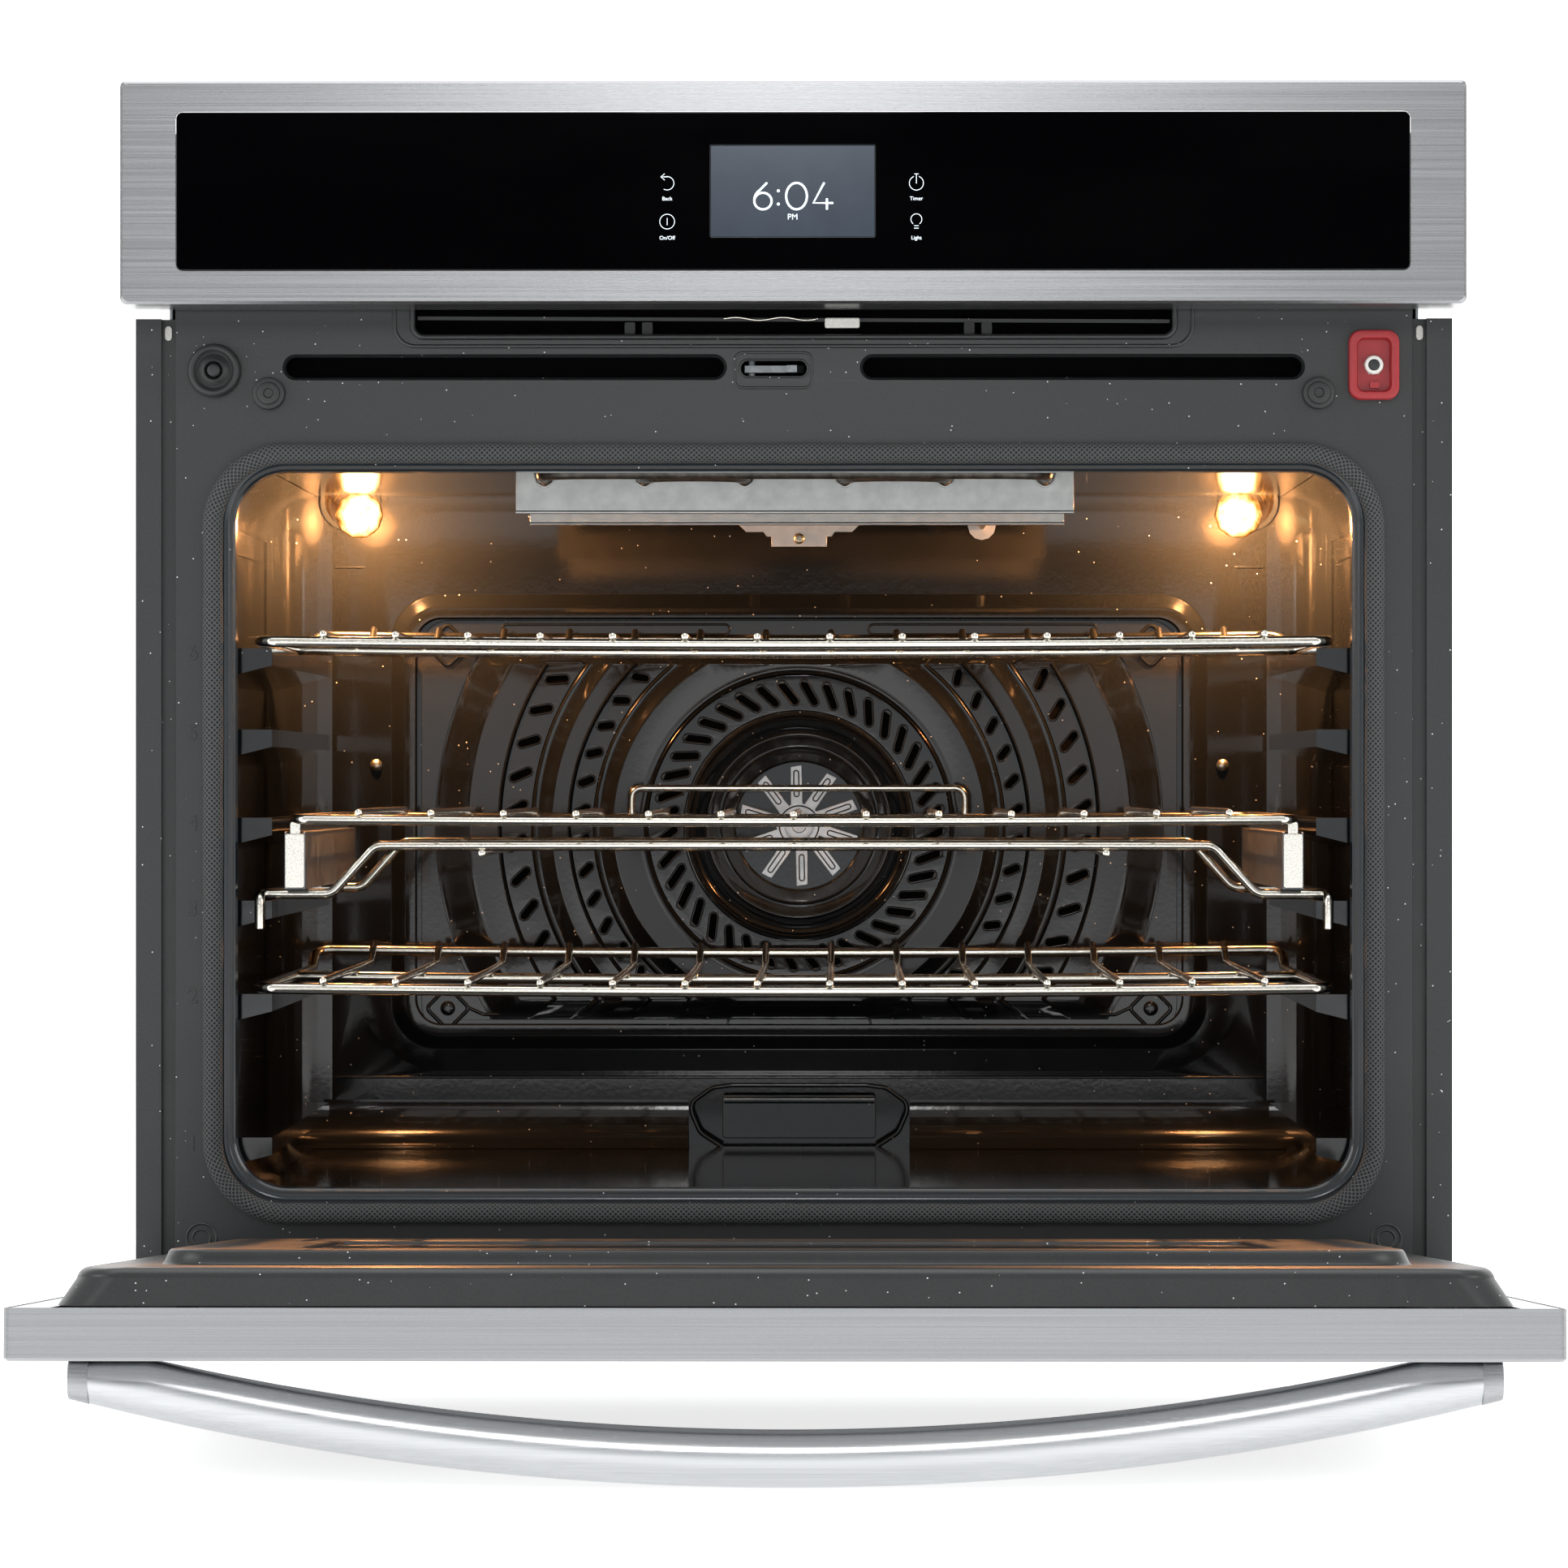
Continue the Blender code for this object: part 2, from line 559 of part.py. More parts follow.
# ------------------------------------------------------------------ controls
def build_controls(looks):
    """Panel bezel, its glass, and the display and board behind it."""
    middle = (PANEL_TOP_Z + PANEL_BOTTOM_Z) / 2
    glass_width = OVERALL_WIDTH - 2 * GLASS_SIDE_MARGIN
    glass_height = PANEL_HEIGHT - GLASS_BOTTOM_MARGIN - GLASS_TOP_MARGIN
    glass_z = PANEL_BOTTOM_Z + GLASS_BOTTOM_MARGIN + glass_height / 2
    edge, sheet = PANEL_EDGE, LINER_SHEET
    width, height = OVERALL_WIDTH, PANEL_HEIGHT
    back = FRONT_Y + PANEL_BOX_DEPTH
    sections = [
        (width, height, 0.003, 0, middle, back),
        (width, height, 0.003, 0, middle, FRONT_Y + edge),
        (width - 2 * edge, height - 2 * edge, 0.003, 0, middle, FRONT_Y),
        (glass_width, glass_height, GLASS_CORNER, 0, glass_z, FRONT_Y),
        (glass_width, glass_height, GLASS_CORNER, 0, glass_z, FRONT_Y + sheet),
        (width - 2 * sheet, height - 2 * sheet, 0.0018, 0, middle, FRONT_Y + 2 * sheet),
        (width - 2 * sheet, height - 2 * sheet, 0.0018, 0, middle, back),
    ]
    piece("control_panel_frame", ring_of_rects(sections, 3), looks["stainless"])
    pane = rounded_rect(
        glass_width - 2 * GAP, glass_height - 2 * GAP, GLASS_CORNER - GAP, 3, (0, glass_z)
    )
    glass_back = FRONT_Y + PANEL_GLASS
    piece("control_glass", plate("XZ", pane, FRONT_Y, glass_back), looks["black_glass"])
    near = glass_back + GAP
    low = (-DISPLAY_WIDTH / 2, near, glass_z - DISPLAY_HEIGHT / 2)
    high = (DISPLAY_WIDTH / 2, near + DISPLAY_DEPTH, glass_z + DISPLAY_HEIGHT / 2)
    piece("display_module", box(low, high), looks["display"])
    board = near + DISPLAY_DEPTH + GAP
    half = BOARD_WIDTH / 2
    rear = board + BOARD_SHEET
    outline = [(-half, board), (half, board), (half, rear)]
    for x, wide, tall in BOARD_PARTS:
        outline += [(x + wide / 2, rear), (x + wide / 2, board + tall)]
        outline += [(x - wide / 2, board + tall), (x - wide / 2, rear)]
    outline.append((-half, rear))
    low_z, high_z = glass_z - BOARD_HEIGHT / 2, glass_z + BOARD_HEIGHT / 2
    piece("control_board", plate("XY", outline, low_z, high_z), looks["circuit_board"])


# ------------------------------------------------------------------ cavity
def build_cavity(looks):
    """Floor, ceiling, side walls with rack supports, back wall and insulation."""
    enamel = looks["cavity_enamel"]
    wall = CAVITY_HALF + LINER_SHEET
    near, far = FRAME_BACK_Y + GAP, BACK_Y - GAP
    piece("cavity_floor", box((-wall, near, FLOOR_Z - LINER_SHEET), (wall, far, FLOOR_Z)), enamel)
    ceiling = box((-wall, near, CEILING_Z), (wall, far, CEILING_Z + LINER_SHEET))
    piece("cavity_ceiling", ceiling, enamel)
    rib_near, rib_far = FRAME_Y + RIB_FRONT, BACK_Y - RIB_REAR_SPACE
    for side, sign in SIDES:
        a, b = sorted((sign * CAVITY_HALF, sign * wall))
        body = box((a, near, FLOOR_Z + GAP), (b, far, CEILING_Z - GAP))
        made = piece("cavity_side_" + side, body, enamel)
        ribs = bmesh.new()
        root = sign * (CAVITY_HALF + LINER_SHEET / 2)
        tip = sign * RIB_INNER
        for level in RACK_LEVELS:
            top = FLOOR_Z + level - RACK_ROD - GAP
            outline = [(root, top - 2 * RIB_HEIGHT), (tip, top - RIB_HEIGHT), (tip, top), (root, top)]
            loops = [[(x, y, z) for x, z in outline] for y in (rib_near, rib_far)]
            loft(loops, shape=ribs)
        join(made, piece("ribs_" + side, ribs, enamel))
    outline = [
        (-wall, FLOOR_Z - LINER_SHEET),
        (wall, FLOOR_Z - LINER_SHEET),
        (wall, CEILING_Z + LINER_SHEET),
        (-wall, CEILING_Z + LINER_SHEET),
    ]
    shaft_hole = circle(SHAFT + 0.004, 12, (0, FAN_Z))
    back = plate("XZ", outline, BACK_Y, BACK_Y + LINER_SHEET, [shaft_hole])
    piece("cavity_back", back, enamel)
    build_insulation(looks, wall)


def build_insulation(looks, wall):
    """A blanket wrapped round the cavity."""
    outer = CHASSIS_WIDTH - 2 * SHEET - 2 * GAP
    inner = 2 * (wall + WOOL_CLEARANCE)
    low, high = SHEET + GAP, CEILING_Z + WOOL_ABOVE
    inner_low = FLOOR_Z - WOOL_BELOW
    inner_high = CEILING_Z + LINER_SHEET + WOOL_CLEARANCE
    near, far = FRAME_Y + WOOL_FRONT, BACK_Y - 0.002
    around = (outer, high - low, 0.006, 0, (low + high) / 2)
    within = (inner, inner_high - inner_low, 0.002, 0, (inner_low + inner_high) / 2)
    sections = [(*around, far), (*around, near), (*within, near), (*within, far)]
    piece("insulation_wrap", ring_of_rects(sections, 1), looks["wool"])


def build_gasket(looks):
    """The woven rope seal on the frame face."""
    width = 2 * (OPENING_HALF + GASKET_SIDE_OFFSET)
    low = OPENING_BOTTOM_Z - GASKET_BOTTOM_OFFSET
    high = OPENING_TOP_Z + GASKET_TOP_OFFSET
    back = FRAME_Y - GAP
    front = FRAME_Y - GASKET_PROUD
    half = GASKET_WIDTH / 2
    rounds = ((-half, back), (-half, front + 0.003), (-half / 2, front))
    profile = list(rounds) + [(-offset, y) for offset, y in reversed(rounds)]
    sections = [
        (
            width + 2 * offset,
            high - low + 2 * offset,
            GASKET_CORNER + offset,
            0,
            (low + high) / 2,
            y,
        )
        for offset, y in profile
    ]
    piece("door_gasket", ring_of_rects(sections, 5), looks["rope"])


def inset(limits, amount):
    """Half width, height above and height below a centre, all made smaller."""
    return tuple(limit - amount for limit in limits)


def build_convection(looks):
    """Cover, element, fan and motor at the back wall."""
    sheet = LINER_SHEET
    wall = BACK_Y - GAP
    face = BACK_Y - COVER_DEPTH
    flange = wall - COVER_FLANGE_DEPTH
    corner = math.hypot(COVER_HALF_WIDTH, COVER_TOP) * 1.06
    outer = (COVER_HALF_WIDTH, COVER_TOP, COVER_BOTTOM)
    dome = (COVER_DOME, COVER_DOME_TOP, COVER_DOME_BOTTOM)
    crown = inset(dome, COVER_SLOPE)
    whole = (1, 1, 1)
    profile = [
        (corner, outer, wall),
        (corner, outer, flange),
        (COVER_DOME, dome, flange),
        (crown[0], crown, face),
        (COVER_FUNNEL, whole, face - 0.001),
        (COVER_FUNNEL - 0.003, whole, face),
        (COVER_INLET, whole, face + FUNNEL_DEPTH),
    ]
    behind = [(radius, limits, y + sheet) for radius, limits, y in reversed(profile[2:])]
    within = inset(dome, sheet)
    behind[-1] = (within[0], within, flange + sheet)
    behind += [(corner, inset(outer, sheet), flange + sheet), (corner, inset(outer, sheet), wall)]
    loops = []
    for radius, limits, y in profile + behind:
        loop = []
        for x, z in circle(radius, 36):
            side, level = abs(x) + 1e-9, abs(z) + 1e-9
            shrink = min(1, limits[0] / side, limits[1 if z > 0 else 2] / level)
            loop.append((x * shrink, y, FAN_Z + z * shrink))
        loops.append(loop)
    piece("convection_cover", loft(loops, closed=True), looks["cavity_enamel"])

    element_y = BACK_Y - RING_DEPTH
    around = circle(ELEMENT_ROD, 6)
    section = [(RING_RADIUS + across, element_y + along) for across, along in around]
    ring = turned(section, 24, closed=True)
    piece("convection_element", ring, looks["element"], (0, 0, FAN_Z))

    axle = joint_empty("fan_axis", (0, BACK_Y, FAN_Z))
    outline = []
    for blade in range(FAN_BLADES):
        middle = 2 * math.pi * blade / FAN_BLADES
        edges = ((FAN_HUB, -BLADE_ROOT), (FAN_RADIUS, -BLADE_WIDTH), (FAN_RADIUS, BLADE_WIDTH))
        for radius, width in edges:
            angle = middle + width / radius
            outline.append((radius * math.cos(angle), radius * math.sin(angle)))
        angle = middle + BLADE_WIDTH / FAN_HUB
        outline.append((FAN_HUB * math.cos(angle), FAN_HUB * math.sin(angle)))
    blades = plate("XZ", outline, -0.0015 - FAN_THICKNESS, -0.0015)
    fan = piece("convection_fan", blades, looks["fan_aluminium"], parent=axle)
    shaft = turned([(SHAFT, -0.004), (SHAFT, 0.026)], 10)
    join(fan, piece("fan_shaft", shaft, looks["fan_aluminium"], parent=axle))

    front = BACK_Y + MOTOR_GAP
    bore = SHAFT + 0.0005
    profile = [(bore, front + 0.013), (bore, front), (MOTOR_RADIUS, front)]
    profile.append((MOTOR_RADIUS, front + MOTOR_BODY))
    profile.append((MOTOR_RADIUS - 0.008, front + MOTOR_LENGTH))
    piece("fan_motor", turned(profile, 20), looks["motor_black"], (0, 0, FAN_Z))


def element_path(runs, near, far, tail, z, bend):
    """A heating rod that folds to and fro between near and far on each side, then crosses."""
    left = []
    for index, x in enumerate(sorted(runs)):
        start = tail if index == 0 else far
        end = near + bend
        if index % 2 == 0:
            left += [(-x, start, z), (-x, end, z)]
        else:
            left += [(-x, end, z), (-x, far, z)]
    left[-1] = (left[-1][0], near, z)
    right = [(-x, y, height) for x, y, height in reversed(left)]
    return filleted(left + right, bend * 0.96)


def build_elements(looks):
    """Broil element with its plate and hanger strips, and the bake element under the floor."""
    z = CEILING_Z - BROIL_DROP
    near, far = FRAME_Y + ELEMENT_FRONT, BACK_Y - ELEMENT_REAR
    runs = [BROIL_PITCH * (index + 0.5) for index in range(3)]
    path = element_path(runs, near, far, BACK_Y - 0.0012, z, BROIL_PITCH / 2)
    made = piece("broil_element", tube(path, ELEMENT_ROD), looks["element"])
    half, tab = TERMINAL_HALF, TERMINAL_TAB
    low = z - TERMINAL_DROP
    tip = low - TERMINAL_TAB_DROP
    outline = [(-half, low), (-tab, low), (-tab, tip), (tab, tip)]
    outline += [(tab, low), (half, low), (half, z + 0.006), (-half, z + 0.006)]
    backing = plate("XZ", outline, BACK_Y - GAP - LINER_SHEET, BACK_Y - GAP)
    join(made, piece("terminal_plate", backing, looks["bright_strip"]))
    notch = ELEMENT_ROD + 0.0009
    top = CEILING_Z - GAP
    strip = BROIL_SHIELD_WIDTH / 2
    for name, depth in zip(("front", "rear"), SHIELD_DEPTHS):
        outline = [(-strip, top - BROIL_SHIELD_HEIGHT), (strip, top - BROIL_SHIELD_HEIGHT)]
        outline += [(strip, top), (-strip, top)]
        holes = [circle(notch, 8, (sign * x, z)) for x in runs for sign in (-1, 1)]
        start = FRAME_Y + depth
        shape = plate("XZ", outline, start, start + LINER_SHEET, holes)
        piece("broil_hanger_" + name, shape, looks["bright_strip"])

    low_z = FLOOR_Z - BAKE_DROP
    runs = (*BAKE_RUNS, OPENING_HALF - BAKE_SIDE)
    path = element_path(runs, near, far, BACK_Y - 0.004, low_z, 0.030)
    piece("bake_element", tube(path, ELEMENT_ROD), looks["element"])

    plate_y = BACK_Y - GAP
    centre = (0, FLOOR_Z + FLOOR_COVER_RISE)
    outline = rounded_rect(FLOOR_COVER_WIDTH, FLOOR_COVER_HEIGHT, 0.006, 3, centre)
    cover = plate("XZ", outline, plate_y - 0.002, plate_y)
    piece("floor_cover_plate", cover, looks["cavity_enamel"])

    rod = [(SENSOR_X, y, z - 0.010) for y in (BACK_Y - 0.0012, BACK_Y - SENSOR_REACH)]
    sensor = piece("temperature_sensor", tube(rod, 0.0024, 8), looks["bright_strip"])
    foot = plate("XZ", circle(SENSOR_FOOT, 12, rod[0][::2]), plate_y - LINER_SHEET, plate_y)
    join(sensor, piece("sensor_foot", foot, looks["bright_strip"]))


def build_lamps(looks):
    """A bulb in a glass jar in each upper rear corner, leaning inwards."""
    for side, sign in SIDES:
        base = Vector((sign * (CAVITY_HALF - LAMP_SIDE_SPACE), BACK_Y - 0.012, CEILING_Z - LAMP_DROP))
        aim = Vector((sign * LAMP_AIM[0], LAMP_AIM[1], LAMP_AIM[2])).normalized()
        tilt = Vector((0, -1, 0)).rotation_difference(aim).to_euler()
        holder = joint_empty("lamp_axis_" + side, base, tilt)
        radius, length, wall = LAMP_RADIUS, LAMP_LENGTH, LAMP_WALL
        outside = [(radius, 0), (radius, 0.006 - length), (radius - 0.004, 0.001 - length)]
        outside.append((0.004, -length))
        inside = [(0.004, wall - length), (radius - 0.004 - wall, 0.0025 - length)]
        inside += [(radius - wall, 0.007 - length), (radius - wall, 0)]
        jar = turned(outside[::-1] + inside[::-1], 20)
        piece("lamp_glass_" + side, jar, looks["lamp_glass"], parent=holder)
        profile = [(0.0105, -0.001), (0.0105, -0.008), (0.006, -0.012), (0.006, -0.034)]
        profile.append((0.003, -0.038))
        piece("lamp_bulb_" + side, turned(profile, 16), looks["lamp"], parent=holder)


# ------------------------------------------------------------------ pieces on the frame face
def build_frame_fittings(looks):
    """Probe receptacle and jack, door switch, bumpers and the door lock."""
    x, z = PROBE_PLACE
    front, back = FRAME_Y - PROBE_PROUD, FRAME_Y - GAP
    edge, rim = PANEL_EDGE, 2 * PROBE_RIM
    sections = [
        (PROBE_WIDTH, PROBE_HEIGHT, 0.008, x, z, back),
        (PROBE_WIDTH, PROBE_HEIGHT, 0.008, x, z, front + edge),
        (PROBE_WIDTH - 2 * edge, PROBE_HEIGHT - 2 * edge, 0.0065, x, z, front),
        (PROBE_WIDTH - rim, PROBE_HEIGHT - rim, 0.006, x, z, front),
        (PROBE_WIDTH - rim, PROBE_HEIGHT - rim, 0.006, x, z, back),
    ]
    piece("probe_receptacle", ring_of_rects(sections, 3), looks["red_plastic"])
    jack = [(0.0055, 0.006), (0.0055, -0.005), (0.0042, -0.0055), (0.0020, -0.0055), (0.0020, 0.006)]
    piece("probe_jack", turned(jack, 16, True), looks["pale_plastic"], (x, FRAME_Y, z))

    x, z = SWITCH_PLACE
    hole, radius, front = PLUNGER_RADIUS + 0.0006, SWITCH_RADIUS, -SWITCH_PROUD
    body = [(radius, -GAP), (radius - 0.0004, front + 0.0013), (radius - 0.0024, front)]
    body += [(0.0080, front), (hole, front + 0.0013), (hole, -GAP)]
    place = (x, FRAME_Y, z)
    piece("door_switch_housing", turned(body, 24, True), looks["dark_rubber"], place)
    axis = joint_empty("switch_axis", place)
    tip = -PLUNGER_PROUD
    plunger = [(0.0022, tip), (PLUNGER_RADIUS, tip + 0.0012), (PLUNGER_RADIUS, 0.012)]
    piece("door_switch_plunger", turned(plunger, 16), looks["dark_rubber"], parent=axis)
    for side, sign in SIDES:
        place = (sign * (OPENING_HALF - BUMPER_INSIDE), FRAME_Y, PANEL_BOTTOM_Z - BUMPER_DROP)
        bumper = [(BUMPER_RADIUS, -GAP), (BUMPER_RADIUS - 0.0003, 0.0022 - BUMPER_PROUD)]
        bumper.append((BUMPER_RADIUS - 0.0028, -BUMPER_PROUD))
        piece("door_bumper_" + side, turned(bumper, 18), looks["dark_rubber"], place)

    middle = PANEL_BOTTOM_Z - LATCH_DROP + 0.0001
    low, high = middle - LOCK_HEIGHT / 2, middle + LOCK_HEIGHT / 2
    near, far = FRAME_BACK_Y + GAP, FRAME_BACK_Y + LOCK_DEPTH
    sheet = LINER_SHEET
    channel = [(near, low), (far, low), (far, high), (near, high), (near, high - sheet)]
    channel += [(far - sheet, high - sheet), (far - sheet, low + sheet), (near, low + sheet)]
    left, right = LATCH_X + 0.0002 - LOCK_WIDTH / 2, LATCH_X + 0.0002 + LOCK_WIDTH / 2
    piece("lock_housing", plate("YZ", channel, left, right), looks["galvanised"])
    pivot = (left + 0.012, FRAME_Y + LOCK_PIVOT_DEPTH, middle)
    axis = joint_empty("lock_axis", pivot)
    arm = [(-0.004, -0.004), (0.020, -0.004), (0.020, -0.008), (0.026, -0.008), (0.030, -0.003)]
    arm += [(0.028, 0.004), (-0.004, 0.004)]
    hook = piece("lock_hook", plate("XY", arm, -0.002, 0.002), looks["galvanised"], parent=axis)
    reach = (high - low) / 2 - sheet - GAP
    pin = plate("XY", circle(0.002, 10), -reach, reach)
    join(hook, piece("lock_pin", pin, looks["galvanised"], parent=axis))


def build_hinges(looks, door):
    """Fixed arms that hook into the frame, and leaves with pins inside the door."""
    for side, sign in SIDES:
        eye = [(0.0035 * math.cos(a), 0.0035 * math.sin(a)) for a in
               [math.radians(90 + 30 * step) for step in range(7)]]
        outline = eye + [(0.034, -0.0035), (0.034, -0.0060), (0.040, -0.0060), (0.040, -0.0035)]
        outline += [(0.064, -0.0035), (0.064, 0.0035)]
        inner, outer = HINGE_X - HINGE_ARM_THICKNESS / 2, HINGE_X + HINGE_ARM_THICKNESS / 2
        a, b = sorted((sign * inner, sign * outer))
        arm = plate("YZ", outline, a, b, [circle(HINGE_PIN + 0.0004, 10)])
        place = (0, DOOR_PIVOT_Y, DOOR_PIVOT_Z)
        piece("hinge_arm_" + side, arm, looks["galvanised"], place)
        depth = DOOR_RIM_DEPTH - DOOR_PIVOT_DEPTH
        leaf = [(-0.018, 0.012), (0.0028, -0.0028), (0.0034, 0.0026), (depth - 0.002, 0.0060)]
        leaf += [(depth - 0.002, HINGE_LEAF_LENGTH), (-0.018, HINGE_LEAF_LENGTH)]
        near = outer + 0.0004
        a, b = sorted((sign * near, sign * (near + HINGE_LEAF_THICKNESS)))
        made = piece("hinge_leaf_" + side, plate("YZ", leaf, a, b), looks["galvanised"], parent=door)
        a, b = sorted((sign * (inner - 0.0015), sign * (outer + 0.0020)))
        pin = plate("YZ", circle(HINGE_PIN, 10), a, b)
        join(made, piece("hinge_pin_" + side, pin, looks["galvanised"], parent=door))


# ------------------------------------------------------------------ door
def build_door(looks, door):
    """Outer skin, liner with its raised pan, two panes and the bowed handle."""
    bottom = DOOR_BOTTOM_Z - DOOR_PIVOT_Z
    top = DOOR_TOP_Z - DOOR_PIVOT_Z
    width, height, middle = OVERALL_WIDTH, top - bottom, (top + bottom) / 2
    front = -DOOR_PIVOT_DEPTH
    sheet, edge = LINER_SHEET, PANEL_EDGE
    rim = front + DOOR_RIM_DEPTH
    window_width = width - 2 * DOOR_WINDOW_SIDE
    window_low, window_high = bottom + DOOR_WINDOW_BOTTOM, top - DOOR_WINDOW_TOP
    window_height = window_high - window_low
    window_z = (window_low + window_high) / 2
    sections = [
        (width, height, 0.003, 0, middle, rim),
        (width, height, 0.003, 0, middle, front + edge),
        (width - 2 * edge, height - 2 * edge, 0.003, 0, middle, front),
        (window_width, window_height, 0.006, 0, window_z, front),
        (window_width, window_height, 0.006, 0, window_z, front + sheet),
        (width - 2 * sheet, height - 2 * sheet, 0.0018, 0, middle, front + 2 * sheet),
        (width - 2 * sheet, height - 2 * sheet, 0.0018, 0, middle, rim),
    ]
    piece("door_skin", ring_of_rects(sections, 3), looks["stainless"], parent=door)
    pane_y = front + 2 * sheet + GAP
    pane = rounded_rect(window_width + 0.020, window_height + 0.020, 0.006, 2, (0, window_z))
    outer_pane = plate("XZ", pane, pane_y, pane_y + DOOR_OUTER_GLASS)
    piece("door_outer_glass", outer_pane, looks["black_glass"], parent=door)

    base_y = rim + GAP
    base_width = width - 2 * LINER_SIDE_MARGIN
    base_top = top - LINER_SIDE_MARGIN
    base_height = base_top - LINER_BOTTOM
    base_z = (base_top + LINER_BOTTOM) / 2
    crown_y = base_y + LINER_RISE
    pan_width = 2 * (OPENING_HALF - PAN_WIDTH_CLEARANCE)
    pan_low = OPENING_BOTTOM_Z + PAN_HEIGHT_CLEARANCE - DOOR_PIVOT_Z
    pan_high = OPENING_TOP_Z - PAN_HEIGHT_CLEARANCE - DOOR_PIVOT_Z
    pan_height, pan_z = pan_high - pan_low, (pan_high + pan_low) / 2
    pan_y = crown_y + PAN_RISE - GAP
    draft, slope = 2 * LINER_DRAFT, 0.006
    view_width = pan_width - 2 * INNER_WINDOW_MARGIN
    view_height = pan_height - 2 * INNER_WINDOW_MARGIN
    outside = [
        (base_width, base_height, LINER_CORNER, 0, base_z, base_y),
        (base_width - draft, base_height - draft, LINER_CORNER, 0, base_z, crown_y),
        (pan_width + slope, pan_height + slope, PAN_CORNER, 0, pan_z, crown_y),
        (pan_width, pan_height, PAN_CORNER, 0, pan_z, pan_y),
        (view_width, view_height, 0.012, 0, pan_z, pan_y),
    ]
    inside = [
        (w - (2 * sheet if index < 4 else 0), h - (2 * sheet if index < 4 else 0), r, x, z, y - sheet)
        for index, (w, h, r, x, z, y) in enumerate(outside)
    ]
    inside[0] = (*inside[0][:5], base_y)
    shape = ring_of_rects(outside + inside[::-1], 4)
    piece("door_liner", shape, looks["enamel"], parent=door)
    glass_y = pan_y - sheet - GAP
    pane = rounded_rect(view_width + 0.024, view_height + 0.024, 0.012, 2, (0, pan_z))
    inner_pane = plate("XZ", pane, glass_y - DOOR_INNER_GLASS, glass_y)
    piece("door_inner_glass", inner_pane, looks["black_glass"], parent=door)
    build_handle(looks, door, front, top - HANDLE_BELOW_TOP)


def build_handle(looks, door, face, z):
    """A bar bowed on one arc, its ends cut flat against the door."""
    half = HANDLE_LENGTH / 2
    bow = HANDLE_REACH - HANDLE_END_REACH
    radius = (half ** 2 + bow ** 2) / (2 * bow)
    inner = radius - HANDLE_THICKNESS
    centre = face - HANDLE_REACH + radius
    seat = face - GAP
    reach = math.sqrt(inner ** 2 - (centre - seat) ** 2)
    outline = []
    for step in range(25):
        x = half - 2 * half * step / 24
        outline.append((x, centre - math.sqrt(radius ** 2 - x ** 2)))
    outline.append((-half, seat))
    for step in range(21):
        x = -reach + 2 * reach * step / 20
        outline.append((x, centre - math.sqrt(inner ** 2 - x ** 2)))
    outline.append((half, seat))
    bar = plate("XY", outline, z - HANDLE_WIDTH / 2, z + HANDLE_WIDTH / 2)
    piece("door_handle", bar, looks["stainless"], parent=door)


# ------------------------------------------------------------------ racks
def wire_places(half, pitch, margin, odd):
    """X of each wire, spaced evenly about the middle."""
    each_side = int((half - margin) / pitch)
    if odd:
        return [pitch * index for index in range(-each_side, each_side + 1)]
    return [pitch * (index + 0.5) for index in range(-each_side, each_side)]


def build_plain_rack(name, looks, level):
    """A wire rack with a raised stop at the rear."""
    chrome = looks["chrome_wire"]
    home = joint_empty(name + "_slide", (0, RACK_FRONT_Y, FLOOR_Z + level))
    side = RACK_HALF - RACK_ROD
    bend = RACK_DEPTH - RACK_BEND
    corners = [(-side, 0, 0), (side, 0, 0), (side, bend, 0), (side, RACK_DEPTH, RACK_STOP_RISE)]
    corners += [(-x, y, z) for x, y, z in reversed(corners[2:])]
    frame = tube(filleted(corners, 0.010, 2, True), RACK_ROD, 8, True)
    rack = piece(name, frame, chrome, parent=home)
    lift = RACK_ROD + RACK_WIRE - WIRE_WELD
    wires = bmesh.new()
    for x in wire_places(RACK_HALF, WIRE_PITCH, 0.015, False):
        path = [(x, -RACK_ROD, lift), (x, bend, lift), (x, RACK_DEPTH, RACK_STOP_RISE + lift)]
        tube(path, RACK_WIRE, 6, shape=wires)
    join(rack, piece(name + "_wires", wires, chrome, parent=home))
    reach = RACK_HALF + RACK_CROSS_REACH
    cross = tube([(-reach, RACK_CROSS_ROD, 0), (reach, RACK_CROSS_ROD, 0)], RACK_ROD, 8)
    join(rack, piece(name + "_cross", cross, chrome, parent=home))


